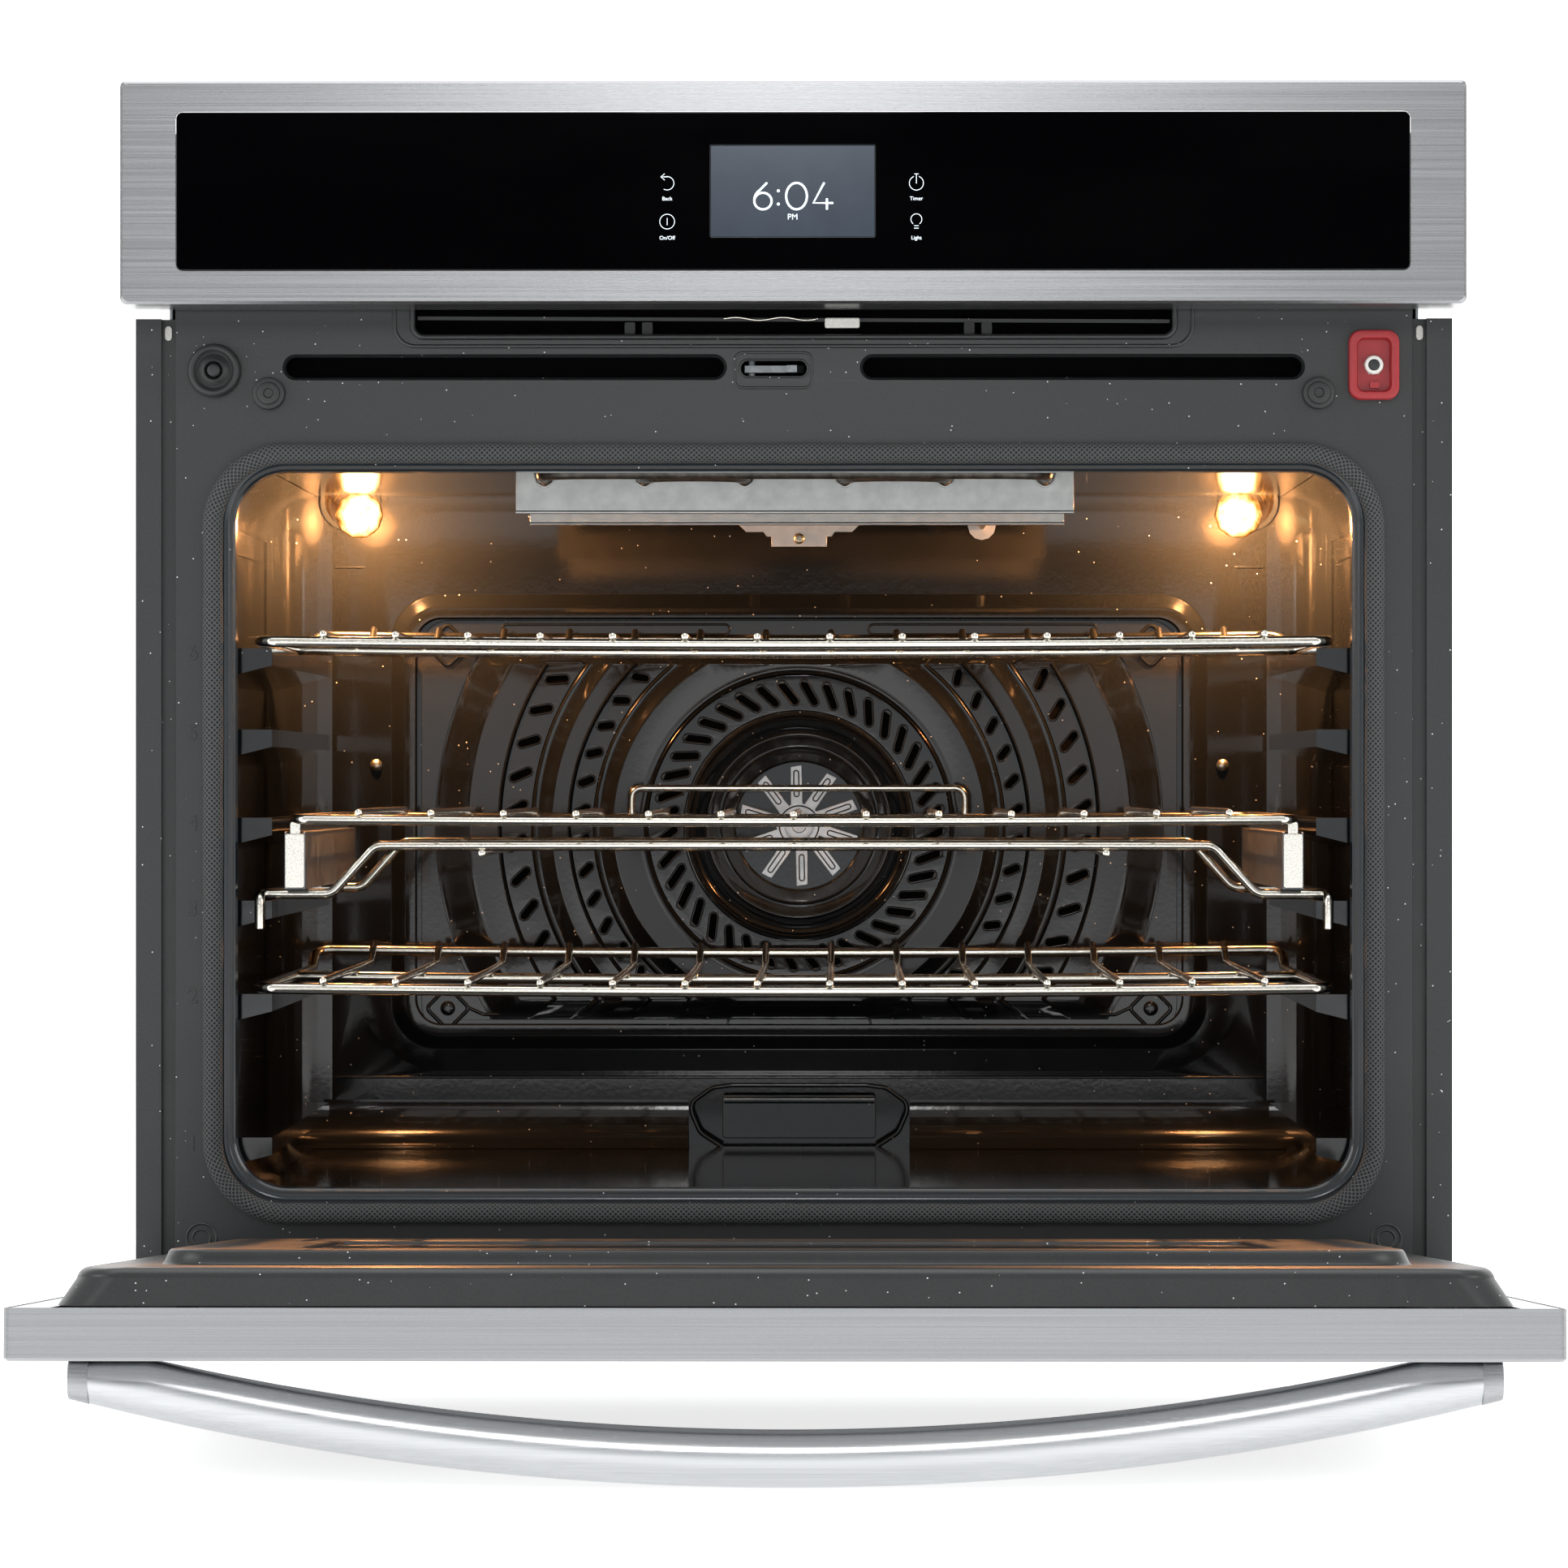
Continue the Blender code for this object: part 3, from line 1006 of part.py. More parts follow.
def build_glide_rack(looks):
    """A wire base, two rails standing on it, and a deck that runs in the rails."""
    chrome = looks["chrome_wire"]
    home = joint_empty("glide_base_slide", (0, RACK_FRONT_Y, FLOOR_Z + RACK_LEVELS[2]))
    end = RACK_HALF - GLIDE_ROD
    rail_out = RACK_HALF - GLIDE_RAIL_OUTSIDE
    rail_in = rail_out - GLIDE_RAIL_WIDTH
    knee = rail_in - GLIDE_KNEE
    step = GLIDE_BASE_STEP
    cross = bmesh.new()
    near, far = GLIDE_BASE_FRONT, GLIDE_BASE_FRONT + RACK_CROSS_ROD
    shoulder = knee - GLIDE_SLANT
    for y in (near, far):
        corners = [(-end, y, 0), (-knee, y, 0), (-shoulder, y, step), (shoulder, y, step)]
        corners += [(knee, y, 0), (end, y, 0)]
        tube(filleted(corners, 0.008, 2), GLIDE_ROD, 8, shape=cross)
    base = piece("glide_base", cross, chrome, parent=home)
    under = step - GLIDE_ROD - RACK_WIRE + WIRE_WELD
    runs = bmesh.new()
    rear = RACK_DEPTH - 0.020
    for sign in (-1, 1):
        ends = (near - GLIDE_ROD, far + 0.020)
        straight = [(sign * GLIDE_RUN_X, y, under) for y in ends]
        tube(straight, RACK_WIRE, 6, shape=runs)
        hanger = [(sign * end, rear, 0), (sign * end, 0.003, 0), (sign * end, 0.003, -GLIDE_TAB_DROP)]
        tube(filleted(hanger, 0.005, 2), GLIDE_ROD, 8, shape=runs)
    join(base, piece("glide_base_runs", runs, chrome, parent=home))

    rail_low = GLIDE_ROD + GAP
    rail_high = rail_low + GLIDE_RAIL_HEIGHT
    wall = LINER_SHEET
    for side, sign in SIDES:
        outline = [(rail_in, rail_low), (rail_out, rail_low), (rail_out, rail_high)]
        outline += [(rail_out - wall, rail_high), (rail_out - wall, rail_low + wall)]
        outline += [(rail_in + wall, rail_low + wall), (rail_in + wall, rail_high)]
        outline.append((rail_in, rail_high))
        outline = [(sign * x, z) for x, z in outline]
        rail = plate("XZ", outline, 0.004, RACK_DEPTH - 0.010)
        piece("glide_rail_" + side, rail, looks["galvanised"], parent=home)

    deck_home = joint_empty("glide_deck_slide", (0, RACK_FRONT_Y, FLOOR_Z + RACK_LEVELS[2]))
    deck_z = GLIDE_DECK_RISE
    middle = (rail_in + rail_out) / 2
    depth = RACK_DEPTH - 0.014
    corners = [(-middle, 0, deck_z), (middle, 0, deck_z), (middle, depth, deck_z)]
    corners.append((-middle, depth, deck_z))
    frame = tube(filleted(corners, 0.008, 2, True), GLIDE_ROD, 8, True)
    deck = piece("glide_deck", frame, chrome, parent=deck_home)
    lift = deck_z + GLIDE_ROD + RACK_WIRE - WIRE_WELD
    wires = bmesh.new()
    for x in wire_places(middle, GLIDE_WIRE_PITCH, 0.030, True):
        tube([(x, -GLIDE_ROD, lift), (x, depth + GLIDE_ROD, lift)], RACK_WIRE, 6, shape=wires)
    join(deck, piece("glide_deck_wires", wires, chrome, parent=deck_home))
    runners = bmesh.new()
    low, high = rail_low + wall + 0.0008, deck_z - GLIDE_ROD + 0.0012
    for sign in (-1, 1):
        a, b = sign * middle - 0.0028, sign * middle + 0.0028
        loops = []
        for y in (0.006, RACK_DEPTH - 0.030):
            loops.append([(a, y, low), (b, y, low), (b, y, high), (a, y, high)])
        loft(loops, shape=runners)
    join(deck, piece("glide_runners", runners, chrome, parent=deck_home))
    bow = GLIDE_STOP_HALF
    foot = lift + RACK_WIRE - WIRE_WELD
    stop = [(-bow, depth, foot - 0.004), (-bow, depth, foot + GLIDE_STOP_RISE)]
    stop += [(-x, y, z) for x, y, z in reversed(stop)]
    rail = tube(filleted(stop, 0.006, 2), RACK_WIRE, 6)
    join(deck, piece("glide_rear_stop", rail, chrome, parent=deck_home))


# ------------------------------------------------------------------ cooling
def build_blower(looks):
    """Cooling blower above the cavity."""
    half = BLOWER_HEIGHT / 2
    centre = (BLOWER_X, BLOWER_Y, CEILING_Z + BLOWER_RISE + BLOWER_SPACE + half)
    axis = joint_empty("blower_axis", centre)
    outer = rounded_rect(BLOWER_WIDTH, BLOWER_WIDTH, 0.060, 5)
    inner = rounded_rect(BLOWER_BORE, BLOWER_BORE, BLOWER_BORE / 2, 5)
    loops = [[(u, v, z) for u, v in loop] for loop, z in
             ((outer, -half), (outer, half), (inner, half), (inner, -half))]
    piece("blower_housing", loft(loops, closed=True), looks["galvanised"], centre)
    outline = []
    near, far = WHEEL_INNER, WHEEL_RADIUS
    for vane in range(WHEEL_VANES):
        start = 2 * math.pi * vane / WHEEL_VANES
        for turn, radius in ((0.0, near), (0.10, far), (0.16, far), (0.14, near)):
            angle = start + turn
            outline.append((radius * math.cos(angle), radius * math.sin(angle)))
    reach = WHEEL_HEIGHT / 2
    wheel = plate("XY", outline, -reach, reach, [circle(0.004, 10)])
    piece("blower_wheel", wheel, looks["fan_aluminium"], parent=axis)


def build():
    """Make every piece."""
    clear_scene()
    looks = make_finishes()
    build_chassis(looks)
    build_front_frame(looks)
    build_trims(looks)
    build_controls(looks)
    build_cavity(looks)
    build_gasket(looks)
    build_convection(looks)
    build_elements(looks)
    build_lamps(looks)
    build_frame_fittings(looks)
    turn = (math.radians(DOOR_OPEN_ANGLE), 0, 0)
    door = joint_empty("door_axis", (0, DOOR_PIVOT_Y, DOOR_PIVOT_Z), turn)
    build_hinges(looks, door)
    build_door(looks, door)
    build_plain_rack("rack_top", looks, RACK_LEVELS[5])
    build_plain_rack("rack_bottom", looks, RACK_LEVELS[1])
    build_glide_rack(looks)
    build_blower(looks)
    bpy.context.view_layer.update()


build()
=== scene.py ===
"""Looks of a built-in wall oven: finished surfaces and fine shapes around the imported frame."""

import math

import bmesh
import bpy
from mathutils import Matrix, Vector, noise


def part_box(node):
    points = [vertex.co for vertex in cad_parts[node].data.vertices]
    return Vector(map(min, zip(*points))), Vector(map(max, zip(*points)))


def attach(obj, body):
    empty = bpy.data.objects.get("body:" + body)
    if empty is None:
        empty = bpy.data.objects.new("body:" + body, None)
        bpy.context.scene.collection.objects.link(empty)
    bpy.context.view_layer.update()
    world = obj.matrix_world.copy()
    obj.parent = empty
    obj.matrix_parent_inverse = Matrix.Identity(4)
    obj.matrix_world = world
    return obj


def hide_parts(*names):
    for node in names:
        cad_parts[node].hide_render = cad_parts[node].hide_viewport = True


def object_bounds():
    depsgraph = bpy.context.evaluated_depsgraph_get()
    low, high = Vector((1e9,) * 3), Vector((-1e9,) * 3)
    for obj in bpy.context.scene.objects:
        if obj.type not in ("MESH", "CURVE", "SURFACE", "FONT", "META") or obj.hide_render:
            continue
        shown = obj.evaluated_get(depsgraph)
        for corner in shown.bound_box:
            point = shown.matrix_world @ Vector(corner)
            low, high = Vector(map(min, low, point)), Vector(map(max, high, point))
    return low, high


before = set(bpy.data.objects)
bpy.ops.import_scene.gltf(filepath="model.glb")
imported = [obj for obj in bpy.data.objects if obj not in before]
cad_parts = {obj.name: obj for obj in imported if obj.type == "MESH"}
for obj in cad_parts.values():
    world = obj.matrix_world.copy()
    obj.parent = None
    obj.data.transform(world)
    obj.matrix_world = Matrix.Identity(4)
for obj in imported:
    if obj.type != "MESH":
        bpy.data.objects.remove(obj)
CAD_LOW, CAD_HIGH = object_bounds()

# ------------------------------------------------------------------ places taken from the frame
PANEL_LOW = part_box("control_panel_frame")[0]
FRONT = PANEL_LOW.y
FRAME_LOW, FRAME_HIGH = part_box("front_frame")
FACE = FRAME_LOW.y
FRAME_BACK = FRAME_HIGH.y
PANEL_BOTTOM = PANEL_LOW.z
SHEET = 0.0012
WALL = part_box("cavity_side_right")[1].x - SHEET
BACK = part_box("cavity_back")[0].y
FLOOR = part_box("cavity_floor")[1].z
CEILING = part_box("cavity_ceiling")[0].z
FAN_LOW, FAN_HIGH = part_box("convection_fan")
FAN_Z = (FAN_LOW.z + FAN_HIGH.z) / 2
OPENING_HALF = WALL - 0.0192
OPENING_LOW = FLOOR + 0.0008
OPENING_HIGH = CEILING - 0.0045
OPENING_CORNER = 0.031
PIVOT = Vector((0, FRONT + 0.030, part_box("hinge_leaf_right")[1].z - 0.0035))
DOOR_ANGLE = math.radians(86.8)

SIDES = (("left", -1), ("right", 1))
FACING_FRONT = Matrix.Rotation(math.pi / 2, 4, "X")
GLOW = "ffab66"
SPECK_NET, SPECK_RADIUS = 0.0050, 0.00038
ROPE_LOOP_AROUND, ROPE_LOOP_ALONG = 0.0028, 0.0030
LAMP_WATTS, SPILL_WATTS = 9.0, 0.9


# ------------------------------------------------------------------ finishes
def linear(code, alpha=1.0):
    """An sRGB hex colour as linear RGBA."""
    shares = [int(code[start:start + 2], 16) / 255 for start in (0, 2, 4)]
    return (*[s / 12.92 if s <= 0.04045 else ((s + 0.055) / 1.055) ** 2.4 for s in shares], alpha)


def add(tree, kind, wires=None, give=0, stops=(), **settings):
    """Adds a node and returns one of its outputs.

    wires maps its inputs to values or to other nodes' outputs.
    stops are the pairs of place and hex colour along a ramp.
    """
    made = tree.nodes.new(kind)
    for name, value in settings.items():
        setattr(made, name, value)
    for name, value in (wires or {}).items():
        if isinstance(value, bpy.types.NodeSocket):
            tree.links.new(value, made.inputs[name])
        else:
            made.inputs[name].default_value = value
    for index, (place, code) in enumerate(stops):
        ramp = made.color_ramp.elements
        stop = ramp[index] if index < 2 else ramp.new(place)
        stop.position = place
        stop.color = linear(code)
    return made.outputs[give] if made.outputs else None


def blank(name):
    """A new material and its empty node tree."""
    made = bpy.data.materials.new(name)
    made.use_nodes = True
    made.node_tree.nodes.clear()
    return made, made.node_tree


def surfaced(made, wires):
    """The material with its surface set; wires are the shader's values and sources."""
    tree = made.node_tree
    shader = add(tree, "ShaderNodeBsdfPrincipled", wires)
    add(tree, "ShaderNodeOutputMaterial", {"Surface": shader})
    return made


def grain(tree, pitch, detail=2.0, stretch=(1, 1, 1)):
    """Noise from 0 to 1 whose grains are pitch metres wide, stretched along an axis."""
    place = add(tree, "ShaderNodeTexCoord", give="Object")
    scale = [1 / (pitch * along) for along in stretch]
    mapped = add(tree, "ShaderNodeMapping", {"Vector": place, "Scale": scale})
    return add(tree, "ShaderNodeTexNoise", {"Vector": mapped, "Scale": 1.0, "Detail": detail})


def specks(tree, spacing, size, share):
    """1 on small dots, one dot in some cells of a random net, and 0 elsewhere."""
    place = add(tree, "ShaderNodeTexCoord", give="Object")
    near = add(tree, "ShaderNodeTexVoronoi", {"Vector": place, "Scale": 1 / spacing})
    tones = add(tree, "ShaderNodeSeparateColor", {"Color": near.node.outputs["Color"]})
    dot = add(tree, "ShaderNodeMath", {0: near, 1: size / spacing}, operation="LESS_THAN")
    lucky = add(tree, "ShaderNodeMath", {0: tones, 1: share}, operation="LESS_THAN")
    return add(tree, "ShaderNodeMath", {0: dot, 1: lucky}, operation="MULTIPLY")


def brushed_steel(name, low, high, rough, stretch=(400, 1, 1)):
    """Stainless steel brushed sideways: hair-fine streaks that draw each reflection out upright."""
    made, tree = blank(name)
    fine = grain(tree, 0.0004, 3.0, stretch)
    broad = grain(tree, 0.0013, 2.0, stretch)
    both = add(tree, "ShaderNodeMath", {0: fine, 1: broad, 2: 0.0}, operation="ADD")
    share = add(tree, "ShaderNodeMapRange", {"Value": both, "From Min": 0.6, "From Max": 1.4})
    wires = {"Value": share, "To Min": rough - 0.04, "To Max": rough + 0.04}
    return surfaced(made, {
        "Base Color": add(tree, "ShaderNodeValToRGB", {"Fac": share}, stops=((0, low), (1, high))),
        "Metallic": 1.0,
        "Roughness": add(tree, "ShaderNodeMapRange", wires),
        "Normal": add(tree, "ShaderNodeBump",
                      {"Height": fine, "Distance": 0.00002, "Strength": 0.35}),
    })


def speckled_enamel(name, low, high, rough, share, pitch=0.0035, swell=0.00004):
    """Fired porcelain enamel: a glassy coat with tiny pale specks and a slight orange peel."""
    made, tree = blank(name)
    cloud = grain(tree, 0.0012, 3.0)
    ground = add(tree, "ShaderNodeValToRGB", {"Fac": cloud}, stops=((0.35, low), (0.65, high)))
    wires = {"Factor": specks(tree, SPECK_NET, SPECK_RADIUS, share), 6: ground,
             7: linear("dcdedf")}
    wide = grain(tree, 0.03, 2.0)
    peel = grain(tree, pitch, 1.5)
    return surfaced(made, {
        "Base Color": add(tree, "ShaderNodeMix", wires, give=2, data_type="RGBA"),
        "Roughness": add(tree, "ShaderNodeMapRange",
                         {"Value": wide, "To Min": rough * 0.8, "To Max": rough * 1.25}),
        "IOR": 1.52,
        "Normal": add(tree, "ShaderNodeBump",
                      {"Height": peel, "Distance": swell, "Strength": 0.4}),
    })


def gloss_glass(name, low, high, rough):
    """Tempered glass printed black on its back: deep, level gloss with a faint wiped haze."""
    made, tree = blank(name)
    haze = grain(tree, 0.05, 4.0, (3, 1, 1))
    return surfaced(made, {
        "Base Color": add(tree, "ShaderNodeValToRGB", {"Fac": haze},
                          stops=((0.3, low), (0.7, high))),
        "Roughness": add(tree, "ShaderNodeMapRange",
                         {"Value": haze, "To Min": rough, "To Max": rough * 2}),
        "IOR": 1.5,
    })


def woven_rope(name):
    """Knitted glass-fibre rope over a wire core: small loops in slanted rows; its grey is painted
    paler on the loop tops as highlight and darker between the loops as shade.
    """
    made, tree = blank(name)
    place = add(tree, "ShaderNodeTexCoord", give="UV")
    around = add(tree, "ShaderNodeSeparateXYZ", {"Vector": place})
    along = around.node.outputs[1]
    strands = []
    for slant in (1.0, -1.0):
        wires = {0: around, 1: slant * 2 * math.pi / ROPE_LOOP_AROUND}
        turn = add(tree, "ShaderNodeMath", wires, operation="MULTIPLY")
        wires = {0: along, 1: 2 * math.pi / ROPE_LOOP_ALONG, 2: turn}
        run = add(tree, "ShaderNodeMath", wires, operation="MULTIPLY_ADD")
        strands.append(add(tree, "ShaderNodeMath", {0: run}, operation="SINE"))
    over = add(tree, "ShaderNodeMath", {0: strands[0], 1: strands[1]}, operation="MAXIMUM")
    lift = add(tree, "ShaderNodeMapRange", {"Value": over, "From Min": -0.4})
    fibre = grain(tree, 0.0004, 2.0)
    loop_height_and_shade = add(tree, "ShaderNodeMath", {0: fibre, 1: 0.35, 2: lift}, operation="MULTIPLY_ADD")
    # Loop height sets the colour: painted highlight on the loop tops and painted shade between
    # them, over the rope's own dark grey.
    shades = ((0.2, "08090a"), (0.8, "2a2c2d"), (1.0, "4a4d4e"))
    return surfaced(made, {
        "Base Color": add(tree, "ShaderNodeValToRGB", {"Fac": loop_height_and_shade}, stops=shades),
        "Roughness": 0.62,
        "IOR": 1.45,
        "Sheen Weight": 0.05,
        "Normal": add(tree, "ShaderNodeBump",
                      {"Height": loop_height_and_shade, "Distance": 0.0005, "Strength": 0.9}),
    })


def coated_metal(name, low, high, least, most, pitch, crystals=False):
    """Plated or coated metal: fine marks, or patches of zinc crystal that each have a tone."""
    made, tree = blank(name)
    share = grain(tree, pitch, 3.0)
    if crystals:
        place = add(tree, "ShaderNodeTexCoord", give="Object")
        net = add(tree, "ShaderNodeTexVoronoi", {"Vector": place, "Scale": 1 / pitch},
                  give="Color")
        share = add(tree, "ShaderNodeSeparateColor", {"Color": net})
    fine = grain(tree, 0.0008, 2.0)
    return surfaced(made, {
        "Base Color": add(tree, "ShaderNodeValToRGB", {"Fac": share},
                          stops=((0.3, low), (0.7, high))),
        "Metallic": 1.0,
        "Roughness": add(tree, "ShaderNodeMapRange",
                         {"Value": share, "To Min": least, "To Max": most}),
        "Normal": add(tree, "ShaderNodeBump",
                      {"Height": fine, "Distance": 0.00003, "Strength": 0.4}),
    })


def moulded(name, low, high, rough, gloss=0.5):
    """Moulded plastic, rubber or paint: an even colour under a fine spark-eroded grain."""
    made, tree = blank(name)
    fine = grain(tree, 0.0006, 3.0)
    wires = {"Value": grain(tree, 0.012, 2.0), "To Min": rough - 0.05, "To Max": rough + 0.08}
    return surfaced(made, {
        "Base Color": add(tree, "ShaderNodeValToRGB", {"Fac": fine},
                          stops=((0.3, low), (0.7, high))),
        "Roughness": add(tree, "ShaderNodeMapRange", wires),
        "Specular IOR Level": gloss,
        "Normal": add(tree, "ShaderNodeBump",
                      {"Height": fine, "Distance": 0.00004, "Strength": 0.6}),
    })


def matted_wool(name):
    """Glass wool blanket: matted fibres with soft hollows."""
    made, tree = blank(name)
    mat = grain(tree, 0.004, 8.0)
    shades = ((0.3, "b9a15a"), (0.7, "e6d79a"))
    return surfaced(made, {
        "Base Color": add(tree, "ShaderNodeValToRGB", {"Fac": mat}, stops=shades),
        "Roughness": 0.95,
        "Normal": add(tree, "ShaderNodeBump", {"Height": mat, "Distance": 0.002, "Strength": 1.0}),
    })


def lit(name, base, low, high, strength, pitch):
    """A surface that gives its own light, a little uneven."""
    made, tree = blank(name)
    uneven = grain(tree, pitch, 3.0)
    return surfaced(made, {
        "Base Color": linear(base),
        "Roughness": 0.15,
        "IOR": 1.5,
        "Emission Color": add(tree, "ShaderNodeValToRGB", {"Fac": uneven},
                              stops=((0.3, low), (0.7, high))),
        "Emission Strength": strength,
    })


def glowing_jar(name):
    """Pressed lamp glass full of light: white where it faces the eye, amber at its turning edge."""
    made, tree = blank(name)
    facing = add(tree, "ShaderNodeLayerWeight", {"Blend": 0.35}, give="Facing")
    ripple = grain(tree, 0.007, 3.0)
    wires = {0: ripple, 1: 0.75, 2: facing}
    depth = add(tree, "ShaderNodeMath", wires, operation="MULTIPLY_ADD")
    shades = ((0.30, "fff6dc"), (0.60, "ffd98c"), (0.85, "e08a30"), (1.0, "7a3c0c"))
    return surfaced(made, {
        "Base Color": linear("2a1a0c"),
        "Roughness": 0.06,
        "IOR": 1.47,
        "Emission Color": add(tree, "ShaderNodeValToRGB", {"Fac": depth}, stops=shades),
        "Emission Strength": add(tree, "ShaderNodeMapRange",
                                 {"Value": depth, "From Min": 0.3, "To Min": 3.4, "To Max": 0.8}),
    })


def make_finishes():
    """Every finish, by the record's slot name or by its own name."""
    return {
        # Rolled sheet with a long grain: soft, level streaks that blur a lamp upright.
        "stainless": brushed_steel("brushed_stainless", "97989a", "a7a8aa", 0.27),
        "stainless_handle": brushed_steel("brushed_handle", "b4b6b8", "c4c6c8", 0.24),
        # Matt grey ground coat, then the glassy cavity coats: dark, wet-looking, with flecks.
        "front_enamel": speckled_enamel("speckled_front_enamel", "1d1f20", "252728", 0.34, 0.42),
        "cavity_enamel": speckled_enamel("glossy_cavity_enamel", "101214", "15181b", 0.08, 0.22),
        "wavy_enamel": speckled_enamel("wavy_side_enamel", "0c0e0f", "121416", 0.09, 0.22, 0.018,
                                       0.0003),
        "lip_enamel": speckled_enamel("slate_lip_enamel", "1c2328", "232b31", 0.16, 0.05),
        # Float glass printed black behind: a clean mirror over deep black.
        "black_glass": gloss_glass("black_backed_glass", "020203", "040405", 0.02),
        "window_glass": gloss_glass("tinted_window_glass", "0a0b0c", "101213", 0.03),
        # A lit liquid-crystal panel: an even slate glow with pale figures.
        "display": lit("display_slate", "12161c", "2b3644", "303c4b", 0.95, 0.02),
        "display_white": lit("display_white", "c8d4dc", "dfe9f0", "f4fafd", 1.05, 0.004),
        # Solder mask: green and slightly waxy.
        "circuit_board": moulded("solder_mask", "0d3a22", "14502f", 0.4),
        # Knitted glass fibre: dull, dark and thready.
        "rope": woven_rope("woven_gasket_rope"),
        # Alloy tube aged by heat: warm dull grey.
        "element_sheath": coated_metal("oxidised_sheath", "4a4845", "6e6b66", 0.42, 0.57, 0.006),
        # Hot-dipped aluminium on steel: pale and soft, with faint clouds.
        "aluminised_strip": coated_metal("aluminised_steel", "b2b5b4", "c4c7c5", 0.40, 0.50,
                                         0.008),
        # Glass and filament at full light: a white heart with an amber rim.
        "lamp_glass": glowing_jar("glowing_lamp_jar"),
        "lamp_bulb": lit("glowing_capsule", "ffe4b8", "ffd68c", "fff0cc", 30.0, 0.004),
        # Spun wool: matt, straw-coloured, full of soft hollows.
        "mineral_wool": matted_wool("matted_glass_wool"),
        # Moulded parts: a fine spark-eroded grain breaks each highlight up.
        "red_plastic": moulded("red_silicone", "8a1a20", "a4262c", 0.38),
        "pale_plastic": moulded("pale_ceramic", "c9c8c2", "e6e5e0", 0.35),
        "dark_rubber": moulded("dark_moulded_rubber", "1b1c1d", "27292a", 0.48),
        # Stamped aluminium: bright, with a satin bloom.
        "fan_aluminium": coated_metal("pressed_aluminium", "b4b8ba", "dadddf", 0.34, 0.50, 0.012),
        # Painted steel: black with little shine. The near-black recess finish is painted shade,
        # laid behind slots and louvres so that gaps read as deep.
        "motor_black": moulded("black_painted_steel", "101112", "1a1b1c", 0.45),
        "painted_shade_black": moulded("painted_shade_recess", "020202", "050505", 0.90, 0.08),
        # Nickel plate on drawn wire: sharp warm glints along each rod.
        "chrome_wire": coated_metal("nickel_plated_wire", "cfcabd", "f4f1e8", 0.10, 0.22, 0.0009),
        # Hot-dip zinc: small crystals, each its own grey.
        "galvanised": coated_metal("galvanised_sheet", "797d80", "8b8f92", 0.40, 0.50, 0.007,
                                   True),
        "zinc_screw": coated_metal("zinc_plated_screw", "9a9689", "cfcab8", 0.30, 0.45, 0.002),
    }


FINISH = make_finishes()


# ------------------------------------------------------------------ shapes
def put(name, mesh, finish, body, stands_for=(), sharp=40, place=None):
    """Adds a piece with its finish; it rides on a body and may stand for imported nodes."""
    if isinstance(mesh, bmesh.types.BMesh):
        made = bpy.data.meshes.new(name)
        bmesh.ops.recalc_face_normals(mesh, faces=mesh.faces)
        mesh.to_mesh(made)
        mesh.free()
        mesh = made
    if place is not None:
        mesh.transform(place)
    mesh.polygons.foreach_set("use_smooth", [True] * len(mesh.polygons))
    mesh.set_sharp_from_angle(angle=math.radians(sharp))
    mesh.materials.clear()
    mesh.materials.append(FINISH[finish])
    made = bpy.data.objects.new(name, mesh)
    bpy.context.scene.collection.objects.link(made)
    if stands_for:
        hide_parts(*stands_for)
    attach(made, body)
    level = made.modifiers.new("level_flats", "WEIGHTED_NORMAL")
    level.keep_sharp = True
    return made


def rounded(x0, x1, z0, z1, radius, steps=6):
    """Outline of a rectangle with round corners, anticlockwise from its lower right."""
    radius = min(radius, (x1 - x0) / 2 - 1e-6, (z1 - z0) / 2 - 1e-6)
    points = []
    corners = ((x1, z0, 1, -1, -90), (x1, z1, 1, 1, 0), (x0, z1, -1, 1, 90), (x0, z0, -1, -1, 180))
    for x, z, sx, sz, turn in corners:
        for step in range(steps + 1):
            angle = math.radians(turn + 90 * step / steps)
            points.append((x - sx * radius + radius * math.cos(angle),
                           z - sz * radius + radius * math.sin(angle)))
    return points


def circle(radius, steps=32, x=0.0, z=0.0):
    """Outline of a circle."""
    turns = [2 * math.pi * step / steps for step in range(steps)]
    return [(x + radius * math.cos(a), z + radius * math.sin(a)) for a in turns]


def sheet(outlines, thick, edge=0.0, steps=2):
    """A level plate in XY with holes, its edges rounded; its front is at z = 0."""
    shape = bpy.data.curves.new("outline", "CURVE")
    shape.dimensions = "2D"
    shape.fill_mode = "BOTH"
    shape.extrude = thick / 2 - edge
    shape.bevel_depth = edge
    shape.bevel_resolution = steps
    for outline in outlines:
        spline = shape.splines.new("POLY")
        spline.points.add(len(outline) - 1)
        for point, (x, y) in zip(spline.points, outline):
            point.co = (x, y, 0, 1)
        spline.use_cyclic_u = True
    shape.offset = -edge
    holder = bpy.data.objects.new("outline", shape)
    bpy.context.scene.collection.objects.link(holder)
    bpy.context.view_layer.update()
    made = bpy.data.meshes.new_from_object(holder)
    bpy.data.objects.remove(holder)
    bpy.data.curves.remove(shape)
    made.transform(Matrix.Translation((0, 0, -thick / 2)))
    joined = bmesh.new()
    joined.from_mesh(made)
    bmesh.ops.remove_doubles(joined, verts=joined.verts, dist=1e-6)
    joined.to_mesh(made)
    joined.free()
    return made


def moved_to(x, y, z):
    """A shift by x, y, z."""
    return Matrix.Translation((x, y, z))


def centre_of(low, high):
    """The x and z of a box's centre."""
    return (low.x + high.x) / 2, (low.z + high.z) / 2


def at_front(y, x=0.0, z=0.0):
    """Stands a level plate up to face the front, its face at y."""
    return Matrix.Translation((x, y, z)) @ FACING_FRONT


